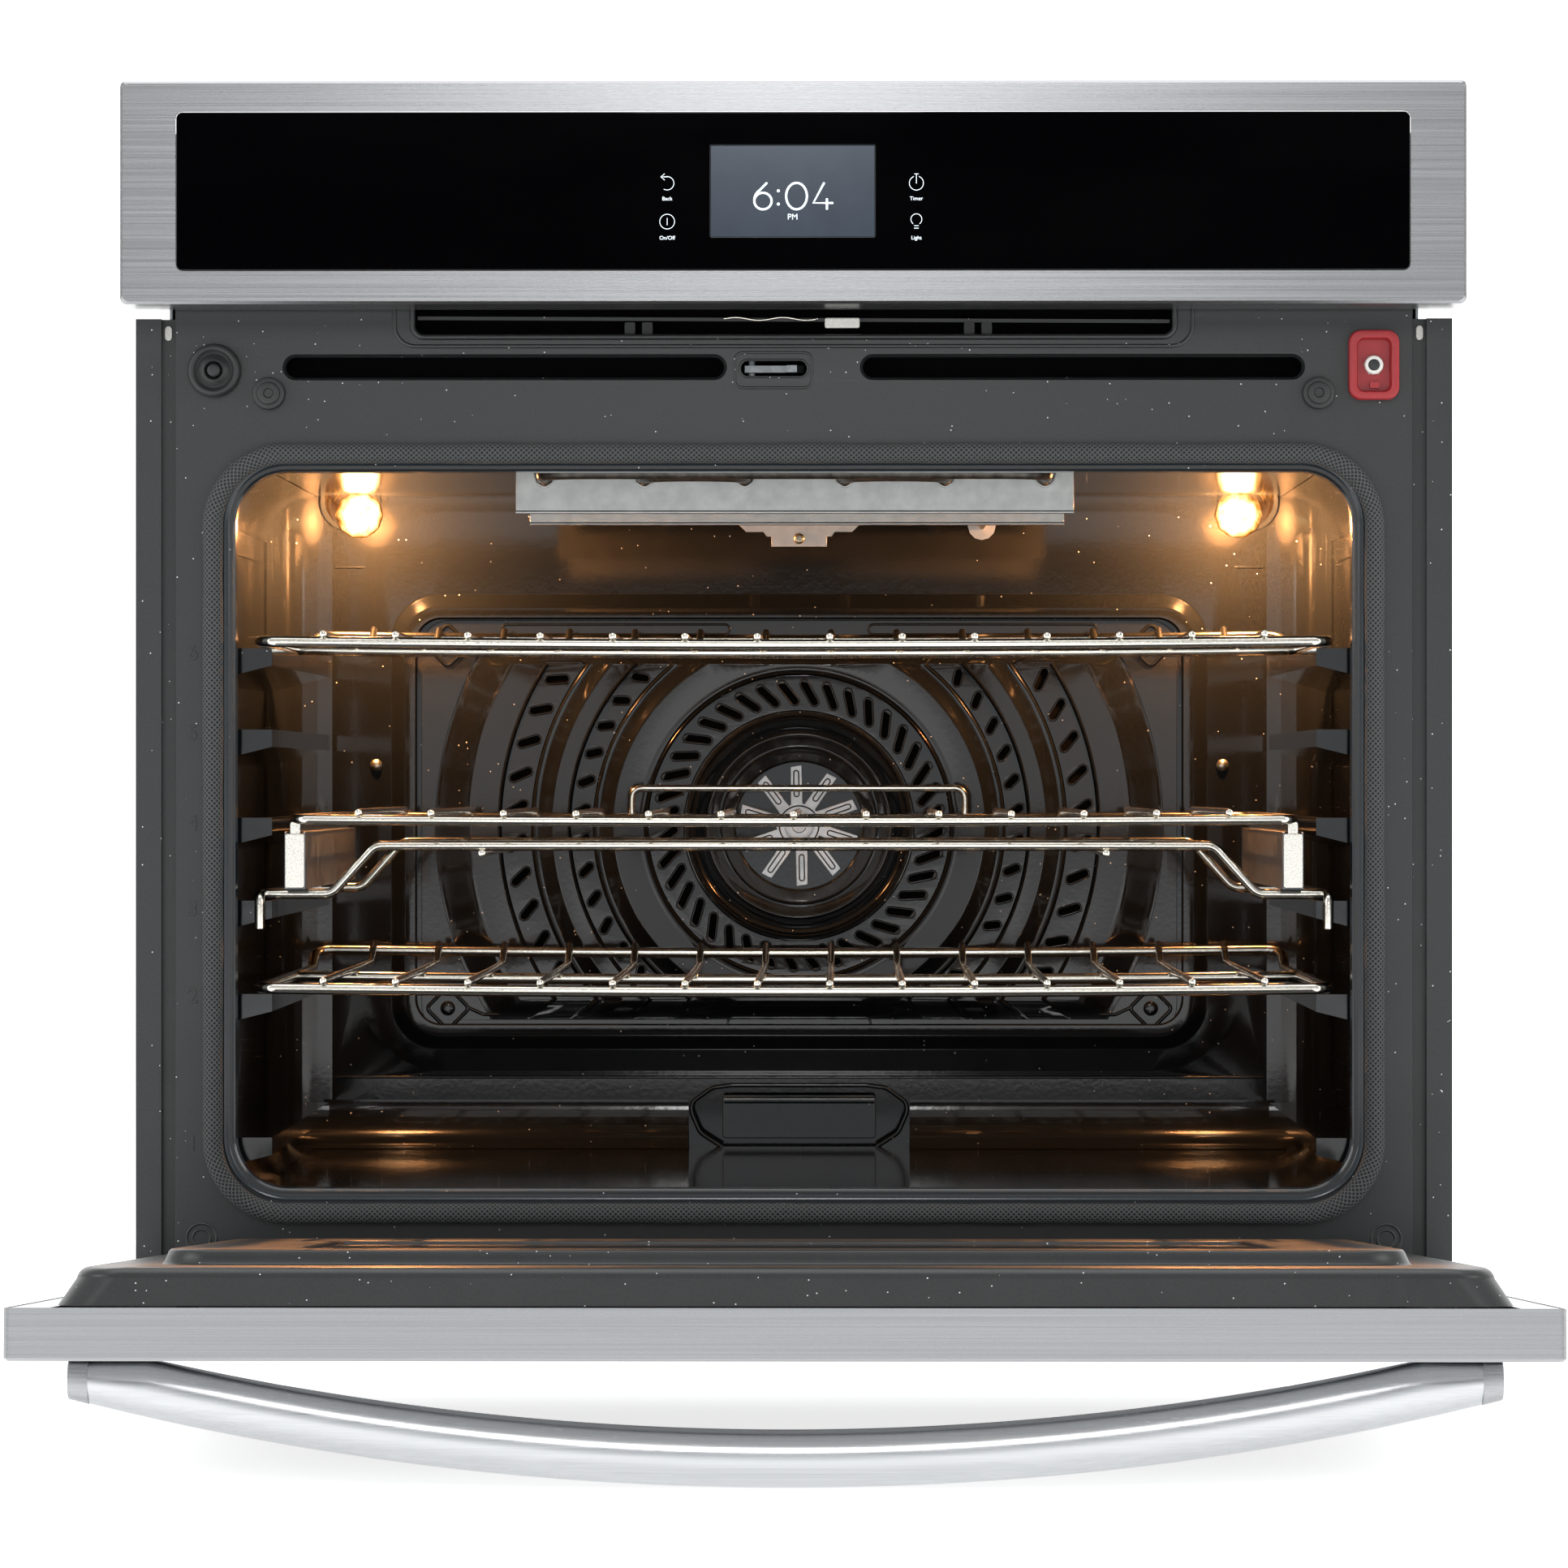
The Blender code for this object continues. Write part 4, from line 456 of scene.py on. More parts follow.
def skin(rows, shape=None, around=True, wrap=False, caps=True):
    """Faces through rows of points; around closes each row, wrap joins last row to first."""
    shape = shape if shape is not None else bmesh.new()
    loops = [[shape.verts.new(point) for point in row] for row in rows]
    count = len(loops[0])
    pairs = list(zip(loops, loops[1:])) + ([(loops[-1], loops[0])] if wrap else [])
    for low, high in pairs:
        for index in range(count if around else count - 1):
            after = (index + 1) % count
            shape.faces.new((low[index], low[after], high[after], high[index]))
    if caps and around and not wrap:
        shape.faces.new(loops[0][::-1])
        shape.faces.new(loops[-1])
    return shape


def lathe(profile, steps=48, shape=None, closed=False, place=None):
    """Turns (radius, along) about Y; along is measured towards the back."""
    rows = [[(r * math.cos(a), y, r * math.sin(a)) for a in
             [2 * math.pi * step / steps for step in range(steps)]] for r, y in profile]
    if place is not None:
        rows = [[place @ Vector(point) for point in row] for row in rows]
    return skin(rows, shape, wrap=closed)


def frames(path, closed, across=None):
    """A side and an up direction at each point of a path."""
    points = [Vector(p) for p in path]
    count = len(points)
    made = []
    last = Vector(across) if across else None
    for index, point in enumerate(points):
        before = points[index - 1] if index or closed else point
        after = points[(index + 1) % count] if index < count - 1 or closed else point
        ahead = (after - before).normalized()
        if last is None:
            last = Vector((0, 0, 1)) if abs(ahead.z) < 0.9 else Vector((1, 0, 0))
        side = (Vector(across) if across else last)
        side = (side - ahead * side.dot(ahead)).normalized()
        made.append((point, side, ahead.cross(side)))
        last = side
    return made


def sweep(path, section, closed=False, across=None, shape=None, caps=True):
    """Carries a section of (side, up) points along a path."""
    rows = [[p + side * a + up * b for a, b in section] for p, side,
            up in frames(path, closed, across)]
    return skin(rows, shape, wrap=closed, caps=caps)


def rib(path, section, shape, closed=True):
    """Sweeps a section along a path that lies in a plane facing the front."""
    return sweep(path, section, closed, (0, 1, 0), shape)


def rod(path, radius, sides=14, closed=False, shape=None, dome=0.35):
    """A round wire along a path, with slightly domed ends."""
    ring = frames(path, closed)
    rows = []
    turns = [2 * math.pi * k / sides for k in range(sides)]

    def row(p, side, up, size, shift):
        return [p + shift + side * size * math.cos(t) + up * size * math.sin(t) for t in turns]

    for p, side, up in ring:
        rows.append(row(p, side, up, radius, Vector()))
    if not closed:
        ends = []
        for (p, side, up), inner in ((ring[0], ring[1][0]), (ring[-1], ring[-2][0])):
            out = (p - inner).normalized()
            ends.append([row(p, side, up, radius * 0.85, out * (dome * radius * 0.6)),
                         row(p, side, up, radius * 0.45, out * (dome * radius))])
        rows = [ends[0][1], ends[0][0]] + rows + ends[1]
    return skin(rows, shape, wrap=closed)


def fillet(corners, radius, steps=6, closed=False):
    """A path with its corners replaced by arcs."""
    points = [Vector(c) for c in corners]
    count = len(points)
    made = []
    for index, point in enumerate(points):
        if not closed and index in (0, count - 1):
            made.append(point)
            continue
        back = (points[index - 1] - point)
        ahead = (points[(index + 1) % count] - point)
        bend = back.angle(ahead)
        if bend > math.radians(178):
            made.append(point)
            continue
        reach = min(radius / math.tan(bend / 2), back.length * 0.49, ahead.length * 0.49)
        size = reach * math.tan(bend / 2)
        first, last = point + back.normalized() * reach, point + ahead.normalized() * reach
        centre = point + (back.normalized() + ahead.normalized()).normalized() * (
            size / math.sin(bend / 2))
        a, b = (first - centre), (last - centre)
        swing = a.angle(b)
        for step in range(steps + 1):
            share = step / steps
            mixed = a * math.sin((1 - share) * swing) + b * math.sin(share * swing)
            made.append(centre + mixed / math.sin(swing))
    return made


def dense(path, gap):
    """The path with extra points, no further apart than gap."""
    points = [Vector(p) for p in path]
    made = []
    for a, b in zip(points, points[1:]):
        parts = max(1, math.ceil((b - a).length / gap))
        made += [a.lerp(b, k / parts) for k in range(parts)]
    return made + [points[-1]]


def ring_xz(x0, x1, z0, z1, radius, y, steps=8):
    """A rounded rectangle standing in the XZ plane, as a path."""
    return [(x, y, z) for x, z in rounded(x0, x1, z0, z1, radius, steps)]


def bead(width, height, steps=7, sink=0.0006):
    """Section of a raised bead: a low arch whose feet sit a little below the surface."""
    turns = [math.pi * k / (steps - 1) for k in range(steps)]
    arch = [(-height * math.sin(t), width / 2 * math.cos(t)) for t in turns]
    return [(sink, width / 2)] + arch + [(sink, -width / 2)]


def words(text, height, thick, finish, name, body, place, edge=0.0):
    """Raised figures facing the front, centred on a place."""
    shape = bpy.data.curves.new(name, "FONT")
    shape.body = text
    shape.size = height * 1.37
    shape.align_x = "CENTER"
    shape.align_y = "CENTER"
    shape.extrude = thick / 2
    shape.bevel_depth = edge
    holder = bpy.data.objects.new(name, shape)
    bpy.context.scene.collection.objects.link(holder)
    bpy.context.view_layer.update()
    made = bpy.data.meshes.new_from_object(holder)
    bpy.data.objects.remove(holder)
    return put(name, made, finish, body, place=at_front(place[1], place[0], place[2]))


def screw(shape, place, radius, proud, facing=(0, -1, 0)):
    """A pan-head screw with a square socket, facing a direction."""
    turn = Vector((0, -1, 0)).rotation_difference(Vector(facing)).to_matrix().to_4x4()
    seat = Matrix.Translation(place) @ turn
    profile = [(radius, 0.0006), (radius, -proud * 0.4), (radius * 0.86, -proud * 0.8),
               (radius * 0.62, -proud), (radius * 0.34, -proud), (radius * 0.30, -proud * 0.35),
               (radius * 0.02, -proud * 0.35)]
    lathe(profile, 20, shape, place=seat)


# ------------------------------------------------------------------ control panel
def build_panel():
    """Black glass around the display, its clock and its touch symbols."""
    low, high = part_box("control_glass")
    screen_low, screen_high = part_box("display_module")
    pane = rounded(low.x, high.x, low.z, high.z, 0.0037)
    gap = 0.0002
    window = rounded(screen_low.x, screen_high.x, screen_low.z, screen_high.z, 0.0006, 3)
    thick = high.y - low.y
    put("control_glass_pane", sheet([pane, window], thick, 0.0004), "black_glass", "cabinet",
        ["control_glass"], place=at_front(low.y))
    inner = rounded(screen_low.x + gap, screen_high.x - gap, screen_low.z + gap,
                    screen_high.z - gap, 0.0005, 3)
    depth = screen_high.y - low.y - 0.0003
    put("display_screen", sheet([inner], depth, 0.0002), "display", "cabinet",
        ["display_module"], place=at_front(low.y + 0.0003))
    shape = bmesh.new()
    face = low.y + 0.00025
    middle = (screen_low.x + screen_high.x) / 2
    base = screen_low.z + 0.0155
    tall = 0.0150
    pen = 0.00062

    def stroke(points, width=pen):
        rod([(x, face, z) for x, z in points], width, 6, shape=shape)

    def arc(cx, cz, rx, rz, first, last, steps=24):
        return [(cx + rx * math.cos(math.radians(first + (last - first) * k / steps)),
                 cz + rz * math.sin(math.radians(first + (last - first) * k / steps)))
                for k in range(steps + 1)]

    six = middle - 0.0168
    stroke(arc(six, base + 0.0047, 0.0049, 0.0047, 0, 360))
    stroke([(six + 0.0022, base + tall)] + arc(six + 0.0030, base + 0.0052, 0.0079, 0.0072, 128,
                                               180, 8))
    for dot in (0.0030, 0.0105):
        stroke(arc(middle - 0.0081, base + dot, 0.0004, 0.0004, 0, 360, 8), 0.0005)
    stroke(arc(middle + 0.0022, base + tall / 2, 0.0059, tall / 2, 0, 360))
    four = middle + 0.0172
    stroke([(four + 0.0022, base), (four + 0.0022, base + 0.0060)])
    stroke([(four + 0.0006, base + tall), (four - 0.0055, base + 0.0036),
            (four + 0.0056, base + 0.0036)])
    left, right = middle - 0.0710, middle + 0.0700
    for x, z, kind in ((left, 0.6666, "back"), (left, 0.6445, "power"),
                       (right, 0.6666, "timer"), (right, 0.6445, "lamp")):
        z += base - 0.6514
        thin = 0.00030
        if kind == "back":
            stroke(arc(x, z - 0.0004, 0.0038, 0.0038, -120, 110), thin)
            stroke([(x - 0.0014, z + 0.0050), (x - 0.0036, z + 0.0032), (x - 0.0014, z + 0.0014)],
                   thin)
            stroke([(x - 0.0036, z + 0.0032), (x + 0.0004, z + 0.0032)], thin)
        if kind == "power":
            stroke(arc(x, z, 0.0042, 0.0042, 0, 360), thin)
            stroke([(x, z - 0.0020), (x, z + 0.0020)], thin)
        if kind == "timer":
            stroke(arc(x, z - 0.0004, 0.0040, 0.0040, 112, 428), thin)
            stroke([(x, z - 0.0006), (x, z + 0.0048)], thin)
            stroke([(x - 0.0012, z + 0.0048), (x + 0.0012, z + 0.0048)], thin)
        if kind == "lamp":
            stroke(arc(x, z + 0.0012, 0.0031, 0.0031, -55, 235), thin)
            for step in range(2):
                stroke([(x - 0.0013, z - 0.0024 - step * 0.0014),
                        (x + 0.0013, z - 0.0024 - step * 0.0014)], thin)
    put("clock_and_symbols", shape, "display_white", "cabinet")
    for name, x, z in (("Back", left, 0.6574), ("On/Off", left, 0.6352), ("Timer", right, 0.6574),
                       ("Light", right, 0.6352)):
        words(name, 0.0022, 0.0002, "display_white", "label_" + name.lower().replace("/", "_"),
              "cabinet",
              (x, low.y - 0.0002, z + base - 0.6514))
    words("PM", 0.0034, 0.0004, "display_white", "clock_half", "cabinet",
          (middle, low.y - 0.0002, base - 0.0044))


# ------------------------------------------------------------------ front frame
def build_front_frame():
    """The enamelled face with its vent, slots, embosses and rack numbers."""
    outer = [(FRAME_LOW.x, FRAME_LOW.z), (FRAME_HIGH.x, FRAME_LOW.z), (FRAME_HIGH.x, FRAME_HIGH.z),
             (FRAME_LOW.x, FRAME_HIGH.z)]
    opening = rounded(-OPENING_HALF, OPENING_HALF, OPENING_LOW, OPENING_HIGH, OPENING_CORNER, 12)
    slot_low, slot_high = PANEL_BOTTOM - 0.0397, PANEL_BOTTOM - 0.0253
    slot_in, slot_out = 0.0384, OPENING_HALF - 0.0286
    vent_half = OPENING_HALF - 0.104
    vent_low, vent_high = PANEL_BOTTOM - 0.0145, PANEL_BOTTOM + 0.004
    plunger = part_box("door_switch_plunger")
    switch = ((plunger[0].x + plunger[1].x) / 2, (plunger[0].z + plunger[1].z) / 2)
    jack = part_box("probe_jack")
    probe = ((jack[0].x + jack[1].x) / 2, (jack[0].z + jack[1].z) / 2)
    latch = (-0.0308, 0.0083, PANEL_BOTTOM - 0.0382, PANEL_BOTTOM - 0.0284)
    holes = [opening, rounded(*latch, 0.0045), rounded(-vent_half, vent_half, vent_low, vent_high,
                                                       0.006)]
    for sign in (-1, 1):
        a, b = sorted((sign * slot_in, sign * slot_out))
        holes.append(rounded(a, b, slot_low, slot_high, 0.0072, 8))
        hinge = sign * (FRAME_HIGH.x - 0.0195)
        holes.append(rounded(hinge - 0.00625, hinge + 0.00625, 0.034, 0.054, 0.0015, 3))
    holes.append(rounded(probe[0] - 0.010, probe[0] + 0.010, probe[1] - 0.015, probe[1] + 0.015,
                         0.004))
    holes.append(circle(0.006, 24, *switch))
    put("front_frame_face", sheet([outer] + holes, FRAME_BACK - FACE, 0.0005), "front_enamel",
        "cabinet", ["front_frame"], place=at_front(FACE))

    shape = bmesh.new()
    for sign in (-1, 1):
        a, b = sorted((sign * slot_in, sign * slot_out))
        rim = ring_xz(a + 0.0003, b - 0.0003, slot_low + 0.0003, slot_high - 0.0003, 0.007, FACE,
                      10)
        section = [(-0.0002, 0.0), (0.0010, 0.0010), (0.0040, 0.0012), (0.0040, 0.0002),
                   (0.0012, -0.0006)]
        rib(rim, section, shape)
    put("slot_rims", shape, "front_enamel", "cabinet")

    shape = bmesh.new()
    path = ring_xz(-0.0336, 0.0106, PANEL_BOTTOM - 0.0444, PANEL_BOTTOM - 0.0242, 0.0045, FACE, 8)
    rib(path, bead(0.0016, 0.0006), shape)
    inner = ring_xz(latch[0], latch[1], latch[2], latch[3], 0.0047, FACE, 8)
    rib(inner, bead(0.0014, 0.0007), shape)
    half = 0.229
    top, bottom, radius = PANEL_BOTTOM + 0.004, PANEL_BOTTOM - 0.0205, 0.0150
    corners = [(-half, FACE, top), (-half, FACE, bottom), (half, FACE, bottom), (half, FACE, top)]
    rib(fillet(corners, radius, 10), bead(0.0024, 0.0010), shape, False)
    corners = [(-vent_half - 0.001, FACE, top), (-vent_half - 0.001, FACE, vent_low - 0.0008),
               (vent_half + 0.001, FACE, vent_low - 0.0008), (vent_half + 0.001, FACE, top)]
    rib(fillet(corners, 0.007, 8), bead(0.0034, 0.0022), shape, False)
    for sign in (-1, 1):
        for ring in (0.0086, 0.0052):
            path = [(sign * 0.340 + x, FACE, 0.0648 + z) for x, z in circle(ring, 28)]
            rib(path, bead(0.0016, 0.0007), shape)
    put("frame_embosses", shape, "front_enamel", "cabinet")

    levels = (0.119, 0.204, 0.254, 0.303, 0.355, 0.401)
    for count, z in enumerate(levels):
        words(str(count + 1), 0.0088, 0.0004, "front_enamel", "rack_number_%d" % (count + 1),
              "cabinet", (-0.3450, FACE - 0.0001, z), 0.0002)

    lip = ring_xz(-OPENING_HALF, OPENING_HALF, OPENING_LOW, OPENING_HIGH, OPENING_CORNER, FACE, 14)
    curl = [(0.0140, 0.0004), (0.0050, 0.0002), (0.0018, -0.0006), (0.0000, -0.0022),
            (-0.0009, -0.0046), (-0.0006, -0.0058), (0.0002, -0.0058), (0.0006, -0.0030),
            (0.0040, 0.0010), (0.0140, 0.0014)]
    put("opening_lip", sweep(lip, curl, True, (0, 1, 0)), "lip_enamel", "cabinet")


def build_vent_parts():
    """What shows inside the vent under the panel: duct edge, two brackets and the latch bar."""
    shape = bmesh.new()
    duct = [(-0.216, FACE + 0.006, PANEL_BOTTOM - 0.004),
            (0.216, FACE + 0.006, PANEL_BOTTOM - 0.006)]
    section = [(-0.0010, -0.0008), (0.0010, -0.0008), (0.0010, 0.0008), (-0.0010, 0.0008)]
    sweep(dense(duct, 0.02), section, shape=shape)
    put("vent_duct_edge", shape, "front_enamel", "cabinet")
    # A duct tray behind the vent and slots in near-black painted shade, so the openings read as
    # deep and hide what lies behind.
    low, high = PANEL_BOTTOM - 0.043, PANEL_BOTTOM + 0.003
    shape = bmesh.new()
    rims = ((0.0, FRAME_BACK + 0.0003), (0.0, FRAME_BACK + 0.0160), (0.0012, FRAME_BACK + 0.0166))
    rows = [[(x, y, z) for x, z in rounded(-0.296 + inset, 0.296 - inset, low + inset,
                                           high - inset, 0.004)]
            for inset, y in rims]
    skin(rows, shape, caps=False)
    shape.faces.new(shape.verts[-len(rows[-1]):])
    put("air_duct_painted_shade", shape, "painted_shade_black", "cabinet")
    shape = bmesh.new()
    for x in (-0.094, -0.084, 0.101, 0.111):
        outline = rounded(x - 0.0030, x + 0.0030, PANEL_BOTTOM - 0.0135, PANEL_BOTTOM - 0.0065,
                          0.0008, 2)
        rows = [[(px, FACE + 0.004 + d, pz) for px, pz in outline] for d in (0, 0.010)]
        skin(rows, shape)
    put("vent_brackets", shape, "motor_black", "cabinet")
    bar = rounded(0.018, 0.038, PANEL_BOTTOM - 0.0100, PANEL_BOTTOM - 0.0042, 0.0010, 3)
    put("vent_latch_bar", sheet([bar], 0.004, 0.0006), "pale_plastic", "cabinet",
        place=at_front(FACE + 0.0002))
    spring = [(-0.040 + 0.054 * k / 40, FACE + 0.003,
               PANEL_BOTTOM - 0.0045 + 0.0008 * math.sin(k / 3.2))
              for k in range(41)]
    put("vent_spring_strip", rod(spring, 0.0006, 8), "chrome_wire", "cabinet")


# ------------------------------------------------------------------ gasket
def build_gasket():
    """The knitted rope round the opening, pressed flat at the back, joined at the bottom."""
    low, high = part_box("door_gasket")
    width = 0.0125
    inset = width / 2
    corner = 0.048 - inset
    path = [Vector(p) for p in ring_xz(low.x + inset, high.x - inset, low.z + inset,
                                       high.z - inset, corner, 0.0, 28)]
    start_at = min(range(len(path)), key=lambda k: (abs(path[k].x) > 0.2, path[k].z,
                                                    abs(path[k].x)))
    path = path[start_at:] + path[:start_at]
    path = dense(path + [path[0]], 0.0022)[:-1]
    deep = (high.y - low.y) / 2
    middle = (low.y + high.y) / 2
    steps = 28
    shape = bmesh.new()
    layer = shape.loops.layers.uv.new("rope")
    rows, lengths = [], [0.0]
    for index, (p, side, up) in enumerate(frames(path, True, (0, 1, 0))):
        if index:
            lengths.append(lengths[-1] + (path[index] - path[index - 1]).length)
        wobble = noise.noise(p * 26) * 0.0005 + noise.noise(p * 120) * 0.00022
        seam = math.exp(-((p.x + 0.002) / 0.014) ** 2) if p.z < 0.1 else 0.0
        row = []
        for k in range(steps):
            turn = 2 * math.pi * k / steps
            c, s = math.cos(turn), math.sin(turn)
            squash = 1 if c < 0 else 0.94
            frill = seam * 0.0009 * noise.noise(Vector((p.x * 700, k * 0.9, 0)))
            size_up = inset + wobble * 0.8 + frill - 0.0004
            place = p + side * (deep * c * squash + frill) + up * size_up * s
            place.y += middle
            place.y = max(low.y, min(high.y, place.y))
            row.append(shape.verts.new(place))
        rows.append(row)
    total = lengths[-1] + (path[0] - path[-1]).length
    lengths.append(total)
    girth = 2 * math.pi * 0.0053
    for index in range(len(rows)):
        this, ahead = rows[index], rows[(index + 1) % len(rows)]
        for k in range(steps):
            after = (k + 1) % steps
            face = shape.faces.new((this[k], this[after], ahead[after], ahead[k]))
            marks = ((k, index), (k + 1, index), (k + 1, index + 1), (k, index + 1))
            for loop, (turn, step) in zip(face.loops, marks):
                loop[layer].uv = (turn / steps * girth, lengths[step])
    put("door_gasket_rope", shape, "rope", "cabinet", ["door_gasket"], sharp=80)


# ------------------------------------------------------------------ cavity
COVE = 0.030


def build_back_wall():
    """Pressed rear wall: round upright corners, a raised frame, and a pocket above the floor."""
    seam = FLOOR + 0.0445
    steps = 10
    bands = [(0.302, seam, CEILING, 0.0004, 0.0),
             (0.2870, seam + 0.0030, CEILING - 0.0080, 0.060, 0.0),
             (0.2850, seam + 0.0050, CEILING - 0.0100, 0.058, 0.0010),
             (0.2640, 0.154, 0.449, 0.031, 0.0010), (0.2622, 0.1558, 0.4472, 0.0292, 0.0020),
             (0.2560, 0.1620, 0.4410, 0.0230, 0.0056), (0.2540, 0.1640, 0.4390, 0.0210, 0.0062),
             (0.2480, 0.1700, 0.4335, 0.0170, 0.0062), (0.2470, 0.1710, 0.4325, 0.0160, 0.0050),
             (0.2468, 0.1712, 0.4323, 0.0160, 0.0010)]
    rows = [[(x, BACK - lift, z) for x, z in rounded(-half, half, z0, z1, radius, steps)]
            for half, z0, z1, radius, lift in bands]
    hub = rounded(-0.0100, 0.0100, FAN_Z - 0.0100, FAN_Z + 0.0100, 0.0099, steps)
    rows.append([(x, BACK - 0.0010, z) for x, z in hub])
    shape = skin(rows, caps=False)
    bend = WALL - 0.302
    for sign in (-1, 1):
        turns = [math.pi / 2 * k / 14 for k in range(15)]
        cove = [(sign * (0.302 + bend * math.sin(t)),
                 BACK - bend * (1 - math.cos(t))) for t in turns]
        cove.append((sign * WALL, BACK - 0.060))
        skin([[(x, y, z) for x, y in cove] for z in (FLOOR, seam, CEILING)], shape, around=False)
    low = FLOOR + 0.0030
    pocket = [(0.0500, low - 0.0030), (0.0640, low + 0.0060), (0.0700, low + 0.0200),
              (0.0690, low + 0.0260), (0.0560, low + 0.0352), (0.0440, low + 0.0368)]
    notch = pocket + [(-x, z) for x, z in reversed(pocket)]
    strip = [(0.302, FLOOR - 0.0002), (0.302, seam), (-0.302, seam), (-0.302, FLOOR - 0.0002)]
    flat = sheet([strip + [(x, z) for x, z in reversed(notch)]], 0.0010, 0.0)
    flat.transform(at_front(BACK))
    shape.from_mesh(flat)
    rows = [[(x, BACK + depth, z) for x, z in notch] for depth in (0.0, 0.0006, 0.0200)]
    skin(rows, shape, around=False)
    shape.faces.new([shape.verts.new((x, BACK + 0.0200, z)) for x, z in notch])
    put("cavity_rear_wall", shape, "cavity_enamel", "cabinet", ["cavity_back"], sharp=50)

    shape = bmesh.new()
    rim = [(x, BACK - 0.0006, z) for x, z in notch]
    rib(dense(fillet(rim, 0.010, 5), 0.004), bead(0.0030, 0.0012), shape, False)
    for z in (seam + 0.0003, 0.466):
        line = [(-0.300, BACK, z), (0.300, BACK, z)]
        rib(dense(line, 0.03), bead(0.0018, 0.0006), shape, False)
        for sign in (-1, 1):
            run = [(sign * (WALL - 0.0002), BACK - 0.045, z),
                   (sign * (WALL - 0.0002), FACE + 0.012, z)]
            rod(dense(run, 0.03), 0.0006, 8, shape=shape)
    put("rear_wall_seams", shape, "cavity_enamel", "cabinet")

    shape = bmesh.new()
    turns = [math.pi / 2 * k / 12 for k in range(13)]
    for sign in (-1, 1):
        for edge, up in ((FLOOR, 1), (CEILING, -1)):
            arc = [(WALL - COVE * (1 - math.sin(t)),
                    edge + up * COVE * (1 - math.cos(t))) for t in turns]
            skin([[(sign * (x - 0.0003), y, z + up * 0.0003) for x, z in arc]
                  for y in (FACE + 0.006, BACK - 0.05, BACK - 0.001)], shape, around=False)
        arc = [(BACK - COVE * (1 - math.sin(t)), FLOOR + COVE * (1 - math.cos(t))) for t in turns]
        skin([[(sign * x, y - 0.0003, z + 0.0003) for y, z in arc]
              for x in (0.0715, 0.20, WALL - 0.002)], shape, around=False)
    put("cavity_coves", shape, "cavity_enamel", "cabinet")

    low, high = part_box("floor_cover_plate")
    outline = rounded(low.x, high.x, low.z, high.z, 0.0022)
    shape = sheet([outline], 0.0020, 0.0006)
    put("floor_cover", shape, "lip_enamel", "cabinet", ["floor_cover_plate"],
        place=at_front(low.y))
    lip = [(low.x + 0.001, low.y - 0.0006, high.z - 0.0032),
           (high.x - 0.001, low.y - 0.0006, high.z - 0.0032)]
    put("floor_cover_fold", sweep(dense(lip, 0.01), bead(0.0046, 0.0012), False, (0, 1, 0)),
        "lip_enamel", "cabinet")


# The cover's face from its inlet outwards, as (radius, height above the rear wall).
COVER_STEPS = 144
COVER_TOP_CLIP = 0.1040
COVER_LOW_CLIP = -0.1120
COVER_FACE = (
    (0.0410, 0.0065), (0.0412, 0.0086), (0.0424, 0.0101), (0.0488, 0.0108), (0.0500, 0.0115),
    (0.0512, 0.0108), (0.0524, 0.0110), (0.0570, 0.0125), (0.0584, 0.0134), (0.0598, 0.0134),
    (0.0618, 0.0112), (0.0640, 0.0098), (0.0662, 0.0112), (0.0680, 0.0140), (0.0690, 0.0148),
    (0.0700, 0.0142), (0.0712, 0.0150), (0.0724, 0.0142), (0.0738, 0.0140), (0.0746, 0.0110),
    (0.0970, 0.0110), (0.0978, 0.0140), (0.0986, 0.0150), (0.0996, 0.0142), (0.1006, 0.0150),
    (0.1018, 0.0146), (0.1040, 0.0148), (0.1190, 0.0156), (0.1206, 0.0152), (0.1230, 0.0130),
    (0.1280, 0.0104), (0.1300, 0.0100), (0.1312, 0.0108), (0.1324, 0.0100), (0.1332, 0.0070),
    (0.1470, 0.0070), (0.1478, 0.0100), (0.1488, 0.0108), (0.1500, 0.0101), (0.1585, 0.0106),
    (0.1604, 0.0102), (0.1630, 0.0080), (0.1680, 0.0062), (0.1700, 0.0060), (0.1712, 0.0068),
    (0.1724, 0.0060), (0.1732, 0.0036), (0.1920, 0.0036), (0.1928, 0.0062), (0.1938, 0.0070),
    (0.1950, 0.0064), (0.2110, 0.0068),
)
# The louvred rings: inner radius, outer radius, height, height of the band behind them, number
# of slots in a full turn, and slot width.
LOUVRES = ((0.0744, 0.0972, 0.0136, 0.0110, 40, 0.0044),
           (0.1330, 0.1472, 0.0097, 0.0070, 46, 0.0044),
           (0.1730, 0.1922, 0.0059, 0.0036, 52, 0.0046))


def capsule(x, z, length, width, turn, steps=5):
    """Outline of a round-ended slot, turned about its middle."""
    reach = (length - width) / 2
    points = []
    for end, first in ((1, -90), (-1, 90)):
        for step in range(steps + 1):
            a = math.radians(first + 180 * step / steps)
            u = end * reach + width / 2 * math.cos(a)
            v = width / 2 * math.sin(a)
            points.append((x + u * math.cos(turn) - v * math.sin(turn),
                           z + u * math.sin(turn) + v * math.cos(turn)))
    return points


